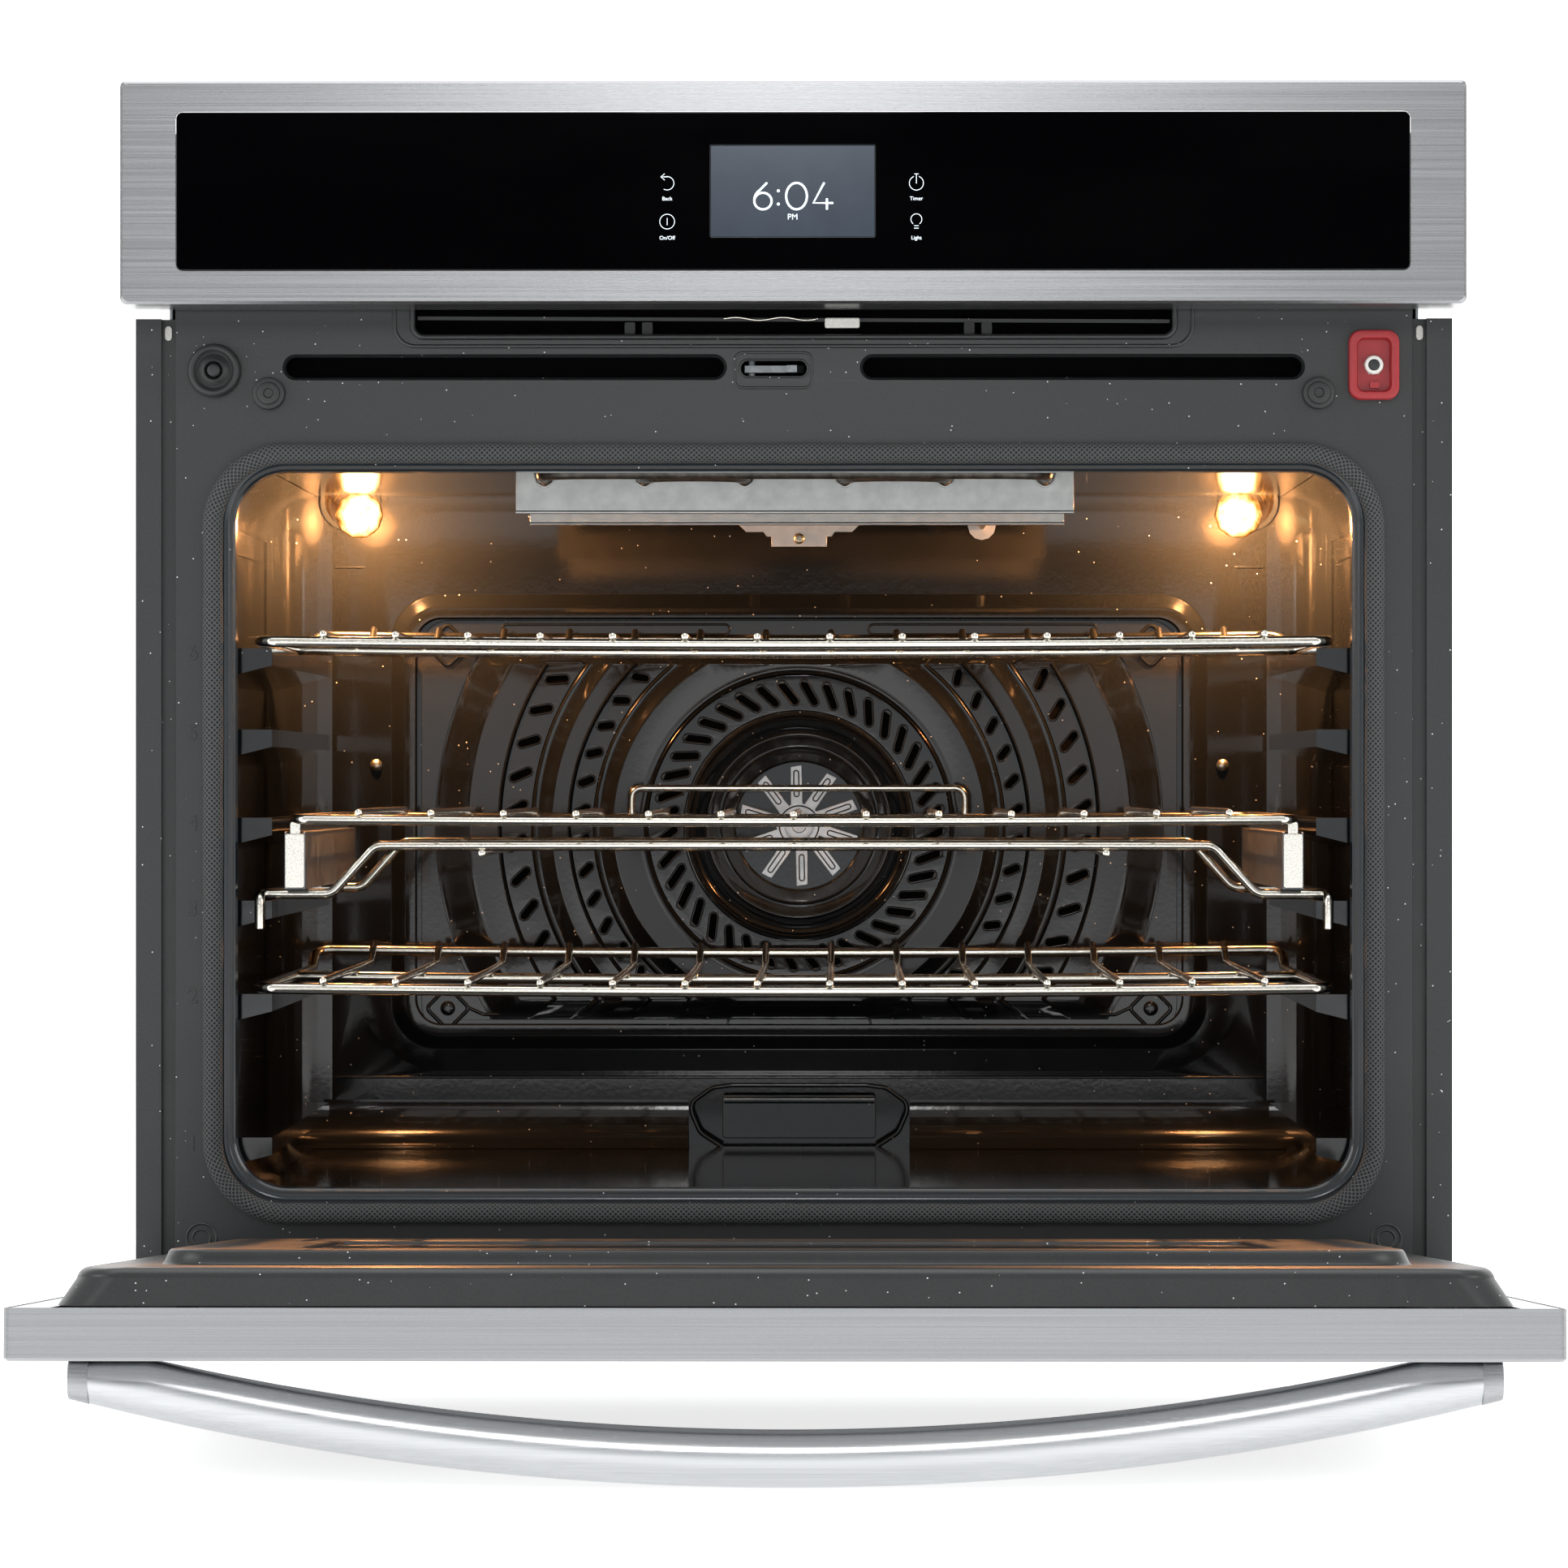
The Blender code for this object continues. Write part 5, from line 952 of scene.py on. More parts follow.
def band_outlines(inner, outer):
    """Outlines of a ring band as it stays between the two clip lines, each anticlockwise."""
    top, low = COVER_TOP_CLIP, COVER_LOW_CLIP
    if outer < top:
        return [[circle(outer, 120), circle(inner, 96)]]

    def limits(radius):
        high = math.asin(min(1, top / radius))
        deep = -math.asin(min(1, -low / radius))
        return deep, high

    made = []
    out_low, out_high = limits(outer)
    in_low, in_high = limits(inner)
    for mirror in (1, -1):
        steps = 40
        far = [out_low + (out_high - out_low) * k / steps for k in range(steps + 1)]
        near = [in_high + (in_low - in_high) * k / steps for k in range(steps + 1)]
        outline = [(outer * math.cos(a), outer * math.sin(a)) for a in far]
        outline += [(inner * math.cos(a), inner * math.sin(a)) for a in near]
        if mirror < 0:
            outline = [(-x, z) for x, z in reversed(outline)]
        made.append([outline])
    return made


def build_cover():
    """Fan cover: clipped dome with terraces, three louvred bands, a flange and its screws."""
    shape = lathe([(r, -d) for r, d in COVER_FACE], COVER_STEPS)
    bmesh.ops.delete(shape, geom=[f for f in shape.faces if len(f.verts) > 4],
                     context="FACES_ONLY")
    for height, up in ((COVER_TOP_CLIP, 1), (COVER_LOW_CLIP, -1)):
        everything = shape.verts[:] + shape.edges[:] + shape.faces[:]
        bmesh.ops.bisect_plane(shape, geom=everything, plane_co=(0, 0, height),
                               plane_no=(0, 0, up), clear_outer=True)
    swell = 0.2350 / COVER_FACE[-1][0]
    limit_top, limit_low = COVER_TOP_CLIP + 0.0085, COVER_LOW_CLIP - 0.0130
    rim = [e for e in shape.edges if e.is_boundary and min(v.co.xz.length for v in e.verts) > 0.05]
    moved = {}

    def outward(vert, share):
        x, z = vert.co.x * (1 + (swell - 1) * share), vert.co.z * (1 + (swell - 1) * share)
        top = COVER_TOP_CLIP + (limit_top - COVER_TOP_CLIP) * share
        low = COVER_LOW_CLIP + (limit_low - COVER_LOW_CLIP) * share
        fall = (1 - math.cos(math.pi * share)) / 2
        return (x, vert.co.y * (1 - fall) - 0.0026 * fall, max(low, min(top, z)))

    shares = (0.12, 0.3, 0.5, 0.7, 0.88, 1.0)
    for edge in rim:
        for vert in edge.verts:
            if vert not in moved:
                moved[vert] = [vert] + [shape.verts.new(outward(vert, s)) for s in shares]
    for edge in rim:
        a, b = edge.verts
        for k in range(len(shares)):
            shape.faces.new((moved[a][k], moved[b][k], moved[b][k + 1], moved[a][k + 1]))
    outer_rim = {tuple(round(c, 6) for c in moved[v][-1].co.xz) for v in moved}
    hole = [(x, z) for _, x, z in sorted((math.atan2(z, x), x, z) for x, z in outer_rim)]
    put("cover_dome", shape, "cavity_enamel", "cabinet", ["convection_cover"], sharp=60,
        place=moved_to(0, BACK, FAN_Z))

    outline = rounded(-0.2440, 0.2440, -0.1340, 0.1330, 0.018, 8)
    flange = sheet([outline, hole[::-1]], 0.0016, 0.0004)
    put("cover_flange", flange, "cavity_enamel", "cabinet",
        place=at_front(BACK - 0.0030, 0, FAN_Z))

    for index, (inner, outer, lift, groove, count, width) in enumerate(LOUVRES):
        middle, length = (inner + outer) / 2, (outer - inner) * 0.78
        slots = []
        for step in range(count):
            angle = 2 * math.pi * (step + 0.5) / count
            x, z = middle * math.cos(angle), middle * math.sin(angle)
            if not COVER_LOW_CLIP + 0.008 < z < COVER_TOP_CLIP - 0.008:
                continue
            slant = angle + math.radians(34)
            slots.append((x, z, slant))
        shape = bmesh.new()
        for part in band_outlines(inner, outer):
            inside = []
            for x, z, slant in slots:
                left_part = len(part) == 1 and part[0][0][0] < 0
                if len(part) == 2 or (x < 0) == left_part:
                    inside.append(capsule(x, z, length, width, slant)[::-1])
            flat = sheet(part + inside, 0.0012, 0.0003, 1)
            shape.from_mesh(flat)
        put("cover_louvres_%d" % (index + 1), shape, "cavity_enamel", "cabinet",
            place=at_front(BACK - lift, 0, FAN_Z))
        shape = bmesh.new()
        for part in band_outlines(inner + 0.0004, outer - 0.0004):
            shape.from_mesh(sheet(part, 0.0003, 0.0001, 1))
        put("louvre_shadow_%d" % (index + 1), shape, "painted_shade_black", "cabinet",
            place=at_front(BACK - groove - 0.0006, 0, FAN_Z))
        shape = bmesh.new()
        for x, z, slant in slots:
            hood = [(px, -lift + 0.0002, pz) for px, pz in
                    capsule(x, z, length + 0.0016, width + 0.0016, slant, 6)]
            rib(hood, bead(0.0010, 0.0005, 5), shape)
        put("louvre_rims_%d" % (index + 1), shape, "cavity_enamel", "cabinet",
            place=moved_to(0, BACK, FAN_Z))

    # A near-black sheet behind the cover: painted shade in the fan chamber, seen through the
    # louvres.
    chamber_shade_outlines = [rounded(-0.240, 0.240, -0.129, 0.128, 0.016), circle(0.046, 48)]
    put("fan_chamber_painted_shade", sheet(chamber_shade_outlines, 0.0006), "painted_shade_black", "cabinet",
        place=at_front(BACK - 0.0020, 0, FAN_Z))

    shape = bmesh.new()
    for sign in (-1, 1):
        a, b = sorted((sign * 0.045, sign * 0.192))
        path = ring_xz(a, b, 0.1235, 0.1300, 0.003, -0.0030, 5)
        rib(path, bead(0.0016, 0.0008), shape)
        for level, tip in ((0.1165, 1), (-0.1180, -1)):
            diamond = [(sign * 0.2270 + 0.0140 * math.cos(t), -0.0032,
                        level + 0.0140 * math.sin(t))
                       for t in [math.radians(90 * k) for k in range(4)]]
            rib(fillet(diamond, 0.0030, 4, True), bead(0.0026, 0.0014), shape)
            foot = [(sign * 0.2150, -0.0030, level - tip * 0.0010),
                    (sign * 0.2040, -0.0030, level + tip * 0.0040),
                    (sign * 0.1940, -0.0030, level + tip * 0.0040)]
            rib(fillet(foot, 0.004, 5), bead(0.0024, 0.0014), shape, False)
            screw(shape, (sign * 0.2270, -0.0030, level), 0.0048, 0.0026)
    notch = ring_xz(-0.046, 0.046, -0.1320, -0.1240, 0.003, -0.0030, 5)
    rib(notch, bead(0.0016, 0.0007), shape)
    put("cover_details", shape, "cavity_enamel", "cabinet", place=moved_to(0, BACK, FAN_Z))

    shape = bmesh.new()
    for sign in (-1, 1):
        stud = [(0.0040, 0.0004), (0.0040, -0.0016), (0.0028, -0.0030), (0.0012, -0.0034),
                (0.0001, -0.0034)]
        lathe(stud, 18, shape, place=Matrix.Translation((sign * 0.2735, BACK, 0.338)))
    put("rear_wall_studs", shape, "zinc_screw", "cabinet")


def build_fan():
    """Pressed aluminium fan: ten flat blades, each with a raised rib outline drawn in black as
    painted shade, and a ringed hub.
    """
    hub, tip = 0.0150, 0.0388
    count = 10
    front = FAN_LOW.y
    outline = []
    for blade in range(count):
        angle = 2 * math.pi * (blade + 0.5) / count + math.radians(6)
        out = Vector((math.cos(angle), math.sin(angle)))
        side = Vector((-out.y, out.x))
        lean = -0.0022
        for along, across in ((hub - 0.001, -0.0038), (tip, -0.0036 + lean),
                              (tip - 0.0004, 0.0038 + lean),
                              (hub - 0.001, 0.0040)):
            p = out * along + side * across
            outline.append((p.x, p.y))
    blades = sheet([outline], 0.0014, 0.0004)
    put("fan_blades", blades, "fan_aluminium", "fan", ["convection_fan"],
        place=at_front(front + 0.0020, 0, FAN_Z))
    shape = bmesh.new()
    for blade in range(count):
        angle = 2 * math.pi * (blade + 0.5) / count + math.radians(6)
        out = Vector((math.cos(angle), math.sin(angle)))
        side = Vector((-out.y, out.x))
        middle = out * 0.0272 - side * 0.0011
        turn = angle - math.radians(5)
        path = [(x, front + 0.0020, FAN_Z + z) for x, z in
                capsule(middle.x, middle.y, 0.0170, 0.0032, turn, 5)]
        rib(path, bead(0.0009, 0.0006, 5), shape)
    ring = [(x, front + 0.0020, FAN_Z + z) for x, z in circle(0.0128, 40)]
    rib(ring, bead(0.0010, 0.0006, 5), shape)
    # Black ribs: painted shade and dark reflection along each pressed rib outline and the hub ring.
    put("fan_rib_shade_lines", shape, "motor_black", "fan")
    shape = bmesh.new()
    cap = [(0.0105, 0.0034), (0.0098, 0.0014), (0.0080, 0.0008), (0.0048, 0.0008),
           (0.0042, 0.0002), (0.0016, 0.0), (0.0002, 0.0)]
    lathe(cap, 32, shape, place=Matrix.Translation((0, front + 0.0006, FAN_Z)))
    shaft = [(0.0030, 0.0030), (0.0030, 0.0310), (0.0002, 0.0310)]
    lathe(shaft, 16, shape, place=Matrix.Translation((0, front, FAN_Z)))
    put("fan_hub", shape, "fan_aluminium", "fan")


def build_broil():
    """Broil element, its two hanger strips and the terminal plate with screws."""
    z = CEILING - 0.0048
    near, far = FACE + 0.040, BACK - 0.060
    runs = [0.0295, 0.0885, 0.1475]
    bend = 0.0295
    left = []
    for index, x in enumerate(runs):
        first = BACK - 0.0012 if index == 0 else far
        end = near + bend
        left += [(-x, first, z), (-x, end, z)] if index % 2 == 0 else [(-x, end, z), (-x, far, z)]
    left[-1] = (left[-1][0], near, z)
    path = left + [(-x, y, h) for x, y, h in reversed(left)]
    put("broil_rod", rod(dense(fillet(path, bend * 0.96, 10), 0.02), 0.0035, 16), "element_sheath",
        "cabinet", ["broil_element"])
    half, tab, low = 0.0403, 0.0180, z - 0.0175
    outline = [(-half, low + 0.006), (-half + 0.006, low), (-tab - 0.005, low),
               (-tab - 0.003, low - 0.003), (-tab, low - 0.003), (-tab, low - 0.0095),
               (tab, low - 0.0095), (tab, low - 0.003), (tab + 0.003, low - 0.003),
               (tab + 0.005, low), (half - 0.006, low), (half, low + 0.006), (half, z + 0.006),
               (-half, z + 0.006)]
    put("terminal_plate", sheet([outline], 0.0012, 0.0003), "aluminised_strip", "cabinet",
        place=at_front(BACK - 0.0015))
    shape = bmesh.new()
    for height in (low + 0.0100, low - 0.0043):
        screw(shape, (0, BACK - 0.0015, height), 0.0036, 0.0022)
    for x in (-0.0295, 0.0295):
        lathe([(0.0056, 0.0), (0.0056, -0.0030), (0.0036, -0.0030)], 20, shape,
              place=Matrix.Translation((x, BACK - 0.0015, z)))
    put("terminal_screws", shape, "zinc_screw", "cabinet")
    for node in ("broil_hanger_front", "broil_hanger_rear"):
        box_low, box_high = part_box(node)
        outline = [(box_low.x, box_low.z), (box_high.x, box_low.z), (box_high.x, box_high.z),
                   (box_low.x, box_high.z)]
        holes = [circle(0.0044, 20, sign * x, z) for x in runs for sign in (-1, 1)]
        put(node + "_strip", sheet([outline] + holes, SHEET, 0.0003), "aluminised_strip",
            "cabinet",
            [node], place=at_front(box_low.y))
        shape = bmesh.new()
        for x in runs:
            for sign in (-1, 1):
                tongue = [(sign * x - 0.0060, box_low.y + 0.0003, z + 0.0035),
                          (sign * x - 0.0044, box_low.y - 0.0016, z - 0.0030),
                          (sign * x, box_low.y - 0.0020, z - 0.0058),
                          (sign * x + 0.0044, box_low.y - 0.0016, z - 0.0030),
                          (sign * x + 0.0060, box_low.y + 0.0003, z + 0.0035)]
                rod(fillet(tongue, 0.003, 3), 0.0007, 8, shape=shape)
        fold = [(box_low.x, box_low.y, box_low.z + 0.0010),
                (box_high.x, box_low.y, box_low.z + 0.0010)]
        rib(dense(fold, 0.02), bead(0.0020, 0.0008), shape, False)
        put(node + "_clips", shape, "aluminised_strip", "cabinet")


def build_lamps():
    """Two oven lamps: a moulded glass jar over a bright capsule, each in a pressed seat."""
    for side, sign in SIDES:
        base = Vector((sign * (WALL - 0.051), BACK - 0.010, CEILING - 0.0020))
        aim = Vector((-sign * 0.200, -0.930, -0.235)).normalized()
        seat = Matrix.Translation(base) @ Vector((0, -1,
                                                  0)).rotation_difference(aim).to_matrix().to_4x4()
        radius, length = 0.0152, 0.057
        outside = [(radius + 0.0010, 0.0), (radius + 0.0010, -0.0060), (radius, -0.0080),
                   (radius, -length + 0.0120), (radius - 0.0003, -length + 0.0080),
                   (radius - 0.0016, -length + 0.0040), (radius - 0.0042, -length + 0.0014),
                   (radius - 0.0080, -length + 0.0002), (0.0040, -length),
                   (0.0003, -length + 0.0004)]
        shape = lathe(outside, 48, place=seat)
        for vert in shape.verts:
            local = seat.inverted() @ vert.co
            turn = math.atan2(local.z, local.x)
            if local.y < -0.010:
                ripple = 1 + 0.018 * math.cos(10 * turn) + 0.010 * math.sin(local.y * 900)
                vert.co = seat @ Vector((local.x * ripple, local.y, local.z * ripple))
        jar = put("lamp_jar_" + side, shape, "lamp_glass", "cabinet", ["lamp_glass_" + side])
        jar.visible_shadow = False
        collar = [(0.0165, 0.0030), (0.0195, 0.0020), (0.0205, -0.0010), (0.0195, -0.0040),
                  (0.0168, -0.0040), (0.0165, 0.0030)]
        ring = put("lamp_collar_" + side, lathe(collar[:-1], 40, closed=True, place=seat),
                   "cavity_enamel",
                   "cabinet")
        ring.visible_shadow = False
        bulb = [(0.0105, -0.0010), (0.0105, -0.0080), (0.0060, -0.0120), (0.0062, -0.0300),
                (0.0048, -0.0350), (0.0020, -0.0378), (0.0002, -0.0380)]
        core = put("lamp_capsule_" + side, lathe(bulb, 24, place=seat), "lamp_bulb", "cabinet",
                   ["lamp_bulb_" + side])
        core.visible_shadow = False
        glow = bpy.data.lights.new("lamp_glow_" + side, "POINT")
        glow.color = linear(GLOW)[:3]
        glow.energy = LAMP_WATTS
        glow.shadow_soft_size = 0.010
        light = bpy.data.objects.new("lamp_glow_" + side, glow)
        light.location = seat @ Vector((0, -0.046, 0))
        bpy.context.scene.collection.objects.link(light)
        spill = bpy.data.lights.new("lamp_spill_" + side, "POINT")
        spill.color = linear("ffd9a0")[:3]
        spill.energy = SPILL_WATTS
        spill.shadow_soft_size = 0.012
        light = bpy.data.objects.new("lamp_spill_" + side, spill)
        light.location = (sign * (WALL - 0.024), FACE + 0.115, CEILING - 0.034)
        light.visible_glossy = False
        bpy.context.scene.collection.objects.link(light)


# ------------------------------------------------------------------ racks
def sagged(path, half, drop):
    """The path let down towards mid-span, as a loaded wire hangs."""
    points = [Vector(p) for p in path]
    return [Vector((p.x, p.y, p.z - drop * max(0.0, 1 - (p.x / half) ** 2))) for p in points]


RACK_ROD = 0.0033
RACK_WIRE = 0.0022
WIRE_WELD = 0.0008
RACK_STOP = 0.012
RACK_SAG = 0.0022


def build_plain_rack(node, body):
    """A plated wire rack: bent frame rod, fourteen wires, a cross rod, raised at the rear."""
    low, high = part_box(node)
    z = low.z + RACK_ROD
    reach = high.x
    side = reach - 0.0045 - RACK_ROD
    near, far = low.y + RACK_ROD, high.y - RACK_ROD
    bend = far - 0.030
    corners = [(-side, near, z), (side, near, z), (side, bend, z), (side, far, z + RACK_STOP),
               (-side, far, z + RACK_STOP), (-side, bend, z)]
    path = fillet(corners, 0.010, 6, True)
    path = dense(path + [path[0]], 0.02)[:-1]
    shape = rod(sagged(path, side, RACK_SAG), RACK_ROD, 16, True)
    lift = RACK_ROD + RACK_WIRE - WIRE_WELD
    for index in range(14):
        x = 0.04172 * (index - 6.5)
        wire = [(x, near - RACK_ROD, z + lift), (x, near + 0.04, z + lift), (x, bend, z + lift),
                (x, far, z + RACK_STOP + lift)]
        rod(sagged(fillet(wire, 0.02, 4), side, RACK_SAG), RACK_WIRE, 12, shape=shape)
    across = [(-reach, near + 0.240, z), (reach, near + 0.240, z)]
    rod(sagged(dense(across, 0.03), reach, RACK_SAG), RACK_ROD, 16, shape=shape)
    for index in range(14):
        x = 0.04172 * (index - 6.5)
        for y in (near, near + 0.240):
            drop = RACK_SAG * (1 - (x / side) ** 2)
            bump_at = Matrix.Translation((x, y, z - drop + RACK_ROD * 0.75)) @ Matrix.Diagonal(
                (0.0030, 0.0032, 0.0016, 1))
            bmesh.ops.create_uvsphere(shape, u_segments=12, v_segments=6, radius=1.0,
                                      matrix=bump_at)
    put(node + "_wires", shape, "chrome_wire", body, [node], sharp=50)


GLIDE_ROD = 0.0029


def build_glide_rack():
    """Gliding rack: a stepped wire base with hooked ends, two rails, and the deck with its stop."""
    base_low, base_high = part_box("glide_base")
    deck_low, deck_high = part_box("glide_deck")
    rail_low, rail_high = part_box("glide_rail_right")
    home = rail_low.z - 0.0003 - GLIDE_ROD
    end = base_high.x - GLIDE_ROD
    knee = rail_low.x - 0.0135
    shoulder, step = knee - 0.025, 0.028
    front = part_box("rack_top")[0].y + RACK_ROD
    near, far = front + 0.026, front + 0.266
    shape = bmesh.new()
    for y in (near, far):
        corners = [(-end, y, home), (-knee, y, home), (-shoulder, y, home + step),
                   (shoulder, y, home + step), (knee, y, home), (end, y, home)]
        rod(dense(fillet(corners, 0.010, 6), 0.02), GLIDE_ROD, 16, shape=shape)
    under = home + step - GLIDE_ROD - RACK_WIRE + WIRE_WELD
    for sign in (-1, 1):
        rod([(sign * 0.181, near - GLIDE_ROD - 0.0006, under), (sign * 0.181, far, under),
             (sign * 0.181, far + 0.020, under)], RACK_WIRE, 12, shape=shape)
        hanger = [(sign * end, base_high.y - 0.0005, home),
                  (sign * end, base_low.y + GLIDE_ROD, home),
                  (sign * end, base_low.y + GLIDE_ROD, base_low.z + 0.0006)]
        rod(dense(fillet(hanger, 0.006, 6), 0.03), GLIDE_ROD, 14, shape=shape)
    put("glide_base_wires", shape, "chrome_wire", "glide_frame", ["glide_base"], sharp=50)

    wall = SHEET
    for side, sign in SIDES:
        low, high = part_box("glide_rail_" + side)
        x0, x1 = low.x, high.x
        section = [(x0, low.z), (x1, low.z), (x1, high.z), (x1 - wall, high.z),
                   (x1 - wall, low.z + wall), (x0 + wall, low.z + wall), (x0 + wall, high.z),
                   (x0, high.z)]
        middle = ((x0 + x1) / 2, (low.z + high.z) / 2)
        flat = sheet([[(x - middle[0], z - middle[1]) for x, z in section]], high.y - low.y,
                     0.0003, 1)
        put("glide_rail_channel_" + side, flat, "galvanised", "glide_frame",
            ["glide_rail_" + side],
            place=at_front(low.y, middle[0], middle[1]))
        cap = rounded(x0 + 0.0004, x1 - 0.0004, low.z + 0.0006, high.z - 0.0010, 0.0014, 4)
        put("glide_runner_end_" + side, sheet([cap], 0.0016, 0.0004), "chrome_wire", "glide_deck",
            place=at_front(low.y - 0.0022))

    shape = bmesh.new()
    deck_z = home + 0.0435
    middle = (rail_low.x + rail_high.x) / 2
    deck_near, deck_far = deck_low.y + GLIDE_ROD, deck_high.y - GLIDE_ROD
    reach = deck_high.x - GLIDE_ROD
    corners = [(-reach, deck_near, deck_z), (reach, deck_near, deck_z), (reach, deck_far, deck_z),
               (-reach, deck_far, deck_z)]
    path = fillet(corners, 0.008, 6, True)
    path = dense(path + [path[0]], 0.02)[:-1]
    rod(sagged(path, reach, 0.0014), GLIDE_ROD, 16, True, shape)
    lift = deck_z + GLIDE_ROD + RACK_WIRE - WIRE_WELD
    for index in range(-6, 7):
        x = 0.0418 * index
        wire = dense([(x, deck_near - GLIDE_ROD - 0.0004, lift), (x, deck_far + GLIDE_ROD, lift)],
                     0.1)
        rod(sagged(wire, reach, 0.0014), RACK_WIRE, 12, shape=shape)
    for sign in (-1, 1):
        a, b = sign * middle - 0.0028, sign * middle + 0.0028
        bottom, top = rail_low.z + wall + 0.0008, deck_z - GLIDE_ROD + 0.0012
        outline = rounded(a, b, bottom, top, 0.0012, 3)
        rows = [[(x, y, z) for x, z in outline] for y in (front + 0.006, front + 0.377)]
        skin(rows, shape)
    bow = 0.106
    foot = lift + RACK_WIRE - WIRE_WELD
    stop = [(-bow, deck_far, foot - 0.004), (-bow, deck_far, foot + 0.012),
            (bow, deck_far, foot + 0.012), (bow, deck_far, foot - 0.004)]
    rod(fillet(stop, 0.006, 6), RACK_WIRE, 12, shape=shape)
    put("glide_deck_wires", shape, "chrome_wire", "glide_deck", ["glide_deck"], sharp=50)


# ------------------------------------------------------------------ fittings on the frame
def build_fittings():
    """Probe receptacle and jack, door switch, bumpers and side screws."""
    low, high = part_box("probe_receptacle")
    x, z = centre_of(low, high)
    rows = []
    for wide, tall, radius, y in (
        (0.0290, 0.0400, 0.0070, high.y), (0.0290, 0.0400, 0.0070, low.y + 0.0020),
        (0.0284, 0.0394, 0.0068, low.y + 0.0006), (0.0268, 0.0378, 0.0062, low.y),
        (0.0212, 0.0322, 0.0046, low.y), (0.0200, 0.0310, 0.0042, low.y + 0.0004),
        (0.0192, 0.0302, 0.0040, low.y + 0.0014), (0.0180, 0.0290, 0.0036, high.y),
    ):
        rows.append([(px, y, pz) for px, pz in
                     rounded(x - wide / 2, x + wide / 2, z - tall / 2, z + tall / 2, radius, 8)])
    shape = skin(rows, wrap=True)
    floor_plate = rounded(x - 0.0092, x + 0.0092, z - 0.0147, z + 0.0147, 0.0036, 6)
    rows = [[(px, y, pz) for px, pz in floor_plate] for y in (high.y - 0.0010, high.y - 0.0002)]
    skin(rows, shape)
    tab = rounded(x - 0.0022, x + 0.0032, z - 0.0132, z - 0.0098, 0.0006, 3)
    rows = [[(px, y, pz) for px, pz in tab] for y in (high.y - 0.0040, high.y - 0.0008)]
    skin(rows, shape)
    put("probe_receptacle_body", shape, "red_plastic", "cabinet", ["probe_receptacle"], sharp=45)
    low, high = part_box("probe_jack")
    x, z = centre_of(low, high)
    jack = [(0.0055, high.y), (0.0055, low.y + 0.0012), (0.0050, low.y + 0.0003), (0.0040, low.y),
            (0.0034, low.y + 0.0002), (0.0030, low.y + 0.0020), (0.0024, low.y + 0.0020),
            (0.0022, low.y + 0.0008), (0.0016, low.y + 0.0008), (0.0014, high.y)]
    nut = [(0.0060, high.y), (0.0060, low.y + 0.0040), (0.0056, low.y + 0.0034),
           (0.0054, low.y + 0.0034)]
    shape = lathe(jack, 32, closed=True, place=moved_to(x, 0, z))
    lathe(nut, 6, shape, place=moved_to(x, 0, z))
    put("probe_jack_socket", shape, "pale_plastic", "cabinet", ["probe_jack"])
    bore = [(0.0031, high.y), (0.0031, low.y + 0.0004), (0.0026, low.y), (0.0002, low.y)]
    put("probe_jack_bore", lathe(bore, 24, place=moved_to(x, 0, z)), "dark_rubber", "cabinet")

    low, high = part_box("door_switch_housing")
    x, z = centre_of(low, high)
    cup = [(0.0154, high.y), (0.0154, low.y + 0.0040), (0.0151, low.y + 0.0018),
           (0.0140, low.y + 0.0003), (0.0128, low.y), (0.0118, low.y + 0.0004),
           (0.0108, low.y + 0.0022), (0.0098, low.y + 0.0026), (0.0086, low.y + 0.0022),
           (0.0066, low.y + 0.0002), (0.0058, low.y), (0.0050, low.y + 0.0006),
           (0.0046, low.y + 0.0020), (0.0046, high.y)]
    put("door_switch_cup", lathe(cup, 56, closed=True, place=moved_to(x, 0, z)),
        "dark_rubber", "cabinet", ["door_switch_housing"])
    low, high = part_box("door_switch_plunger")
    stem = [(0.0040, high.y), (0.0040, low.y + 0.0018), (0.0036, low.y + 0.0007),
            (0.0026, low.y + 0.0001), (0.0014, low.y), (0.0002, low.y)]
    put("door_switch_stem", lathe(stem, 32, place=moved_to(x, 0, z)), "dark_rubber",
        "switch_button", ["door_switch_plunger"])
    for side, sign in SIDES:
        low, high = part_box("door_bumper_" + side)
        x, z = centre_of(low, high)
        deep = high.y - low.y
        foot = [(0.0093, high.y), (0.0093, high.y - deep * 0.5), (0.0089, high.y - deep * 0.72),
                (0.0078, high.y - deep * 0.80), (0.0066, high.y - deep * 0.78),
                (0.0062, high.y - deep * 0.92), (0.0050, low.y), (0.0030, low.y),
                (0.0024, low.y + 0.0010), (0.0002, low.y + 0.0012)]
        put("door_bumper_foot_" + side, lathe(foot, 40, place=moved_to(x, 0, z)),
            "dark_rubber", "cabinet", ["door_bumper_" + side])
        trim_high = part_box("side_trim_" + side)[1]
        channel = sign * (FRAME_HIGH.x + 0.0045)
        plug = [capsule(channel, trim_high.z - 0.008, 0.0085, 0.0042, math.pi / 2)]
        put("trim_plug_" + side, sheet(plug, 0.0016, 0.0005), "pale_plastic", "cabinet",
            place=at_front(trim_high.y - SHEET - 0.0016))


# ------------------------------------------------------------------ door
def on_door(x, y, z):
    """A place given in the shut door's own axes from its pivot, as it lies at rest."""
    c, s = math.cos(DOOR_ANGLE), math.sin(DOOR_ANGLE)
    return Vector((x, PIVOT.y + y * c - z * s, PIVOT.z + y * s + z * c))


def door_loop(width, low, high, radius, y, steps=8):
    """A rounded rectangle on the shut door at depth y, as it lies at rest."""
    return [on_door(x, y, z) for x, z in rounded(-width / 2, width / 2, low, high, radius, steps)]


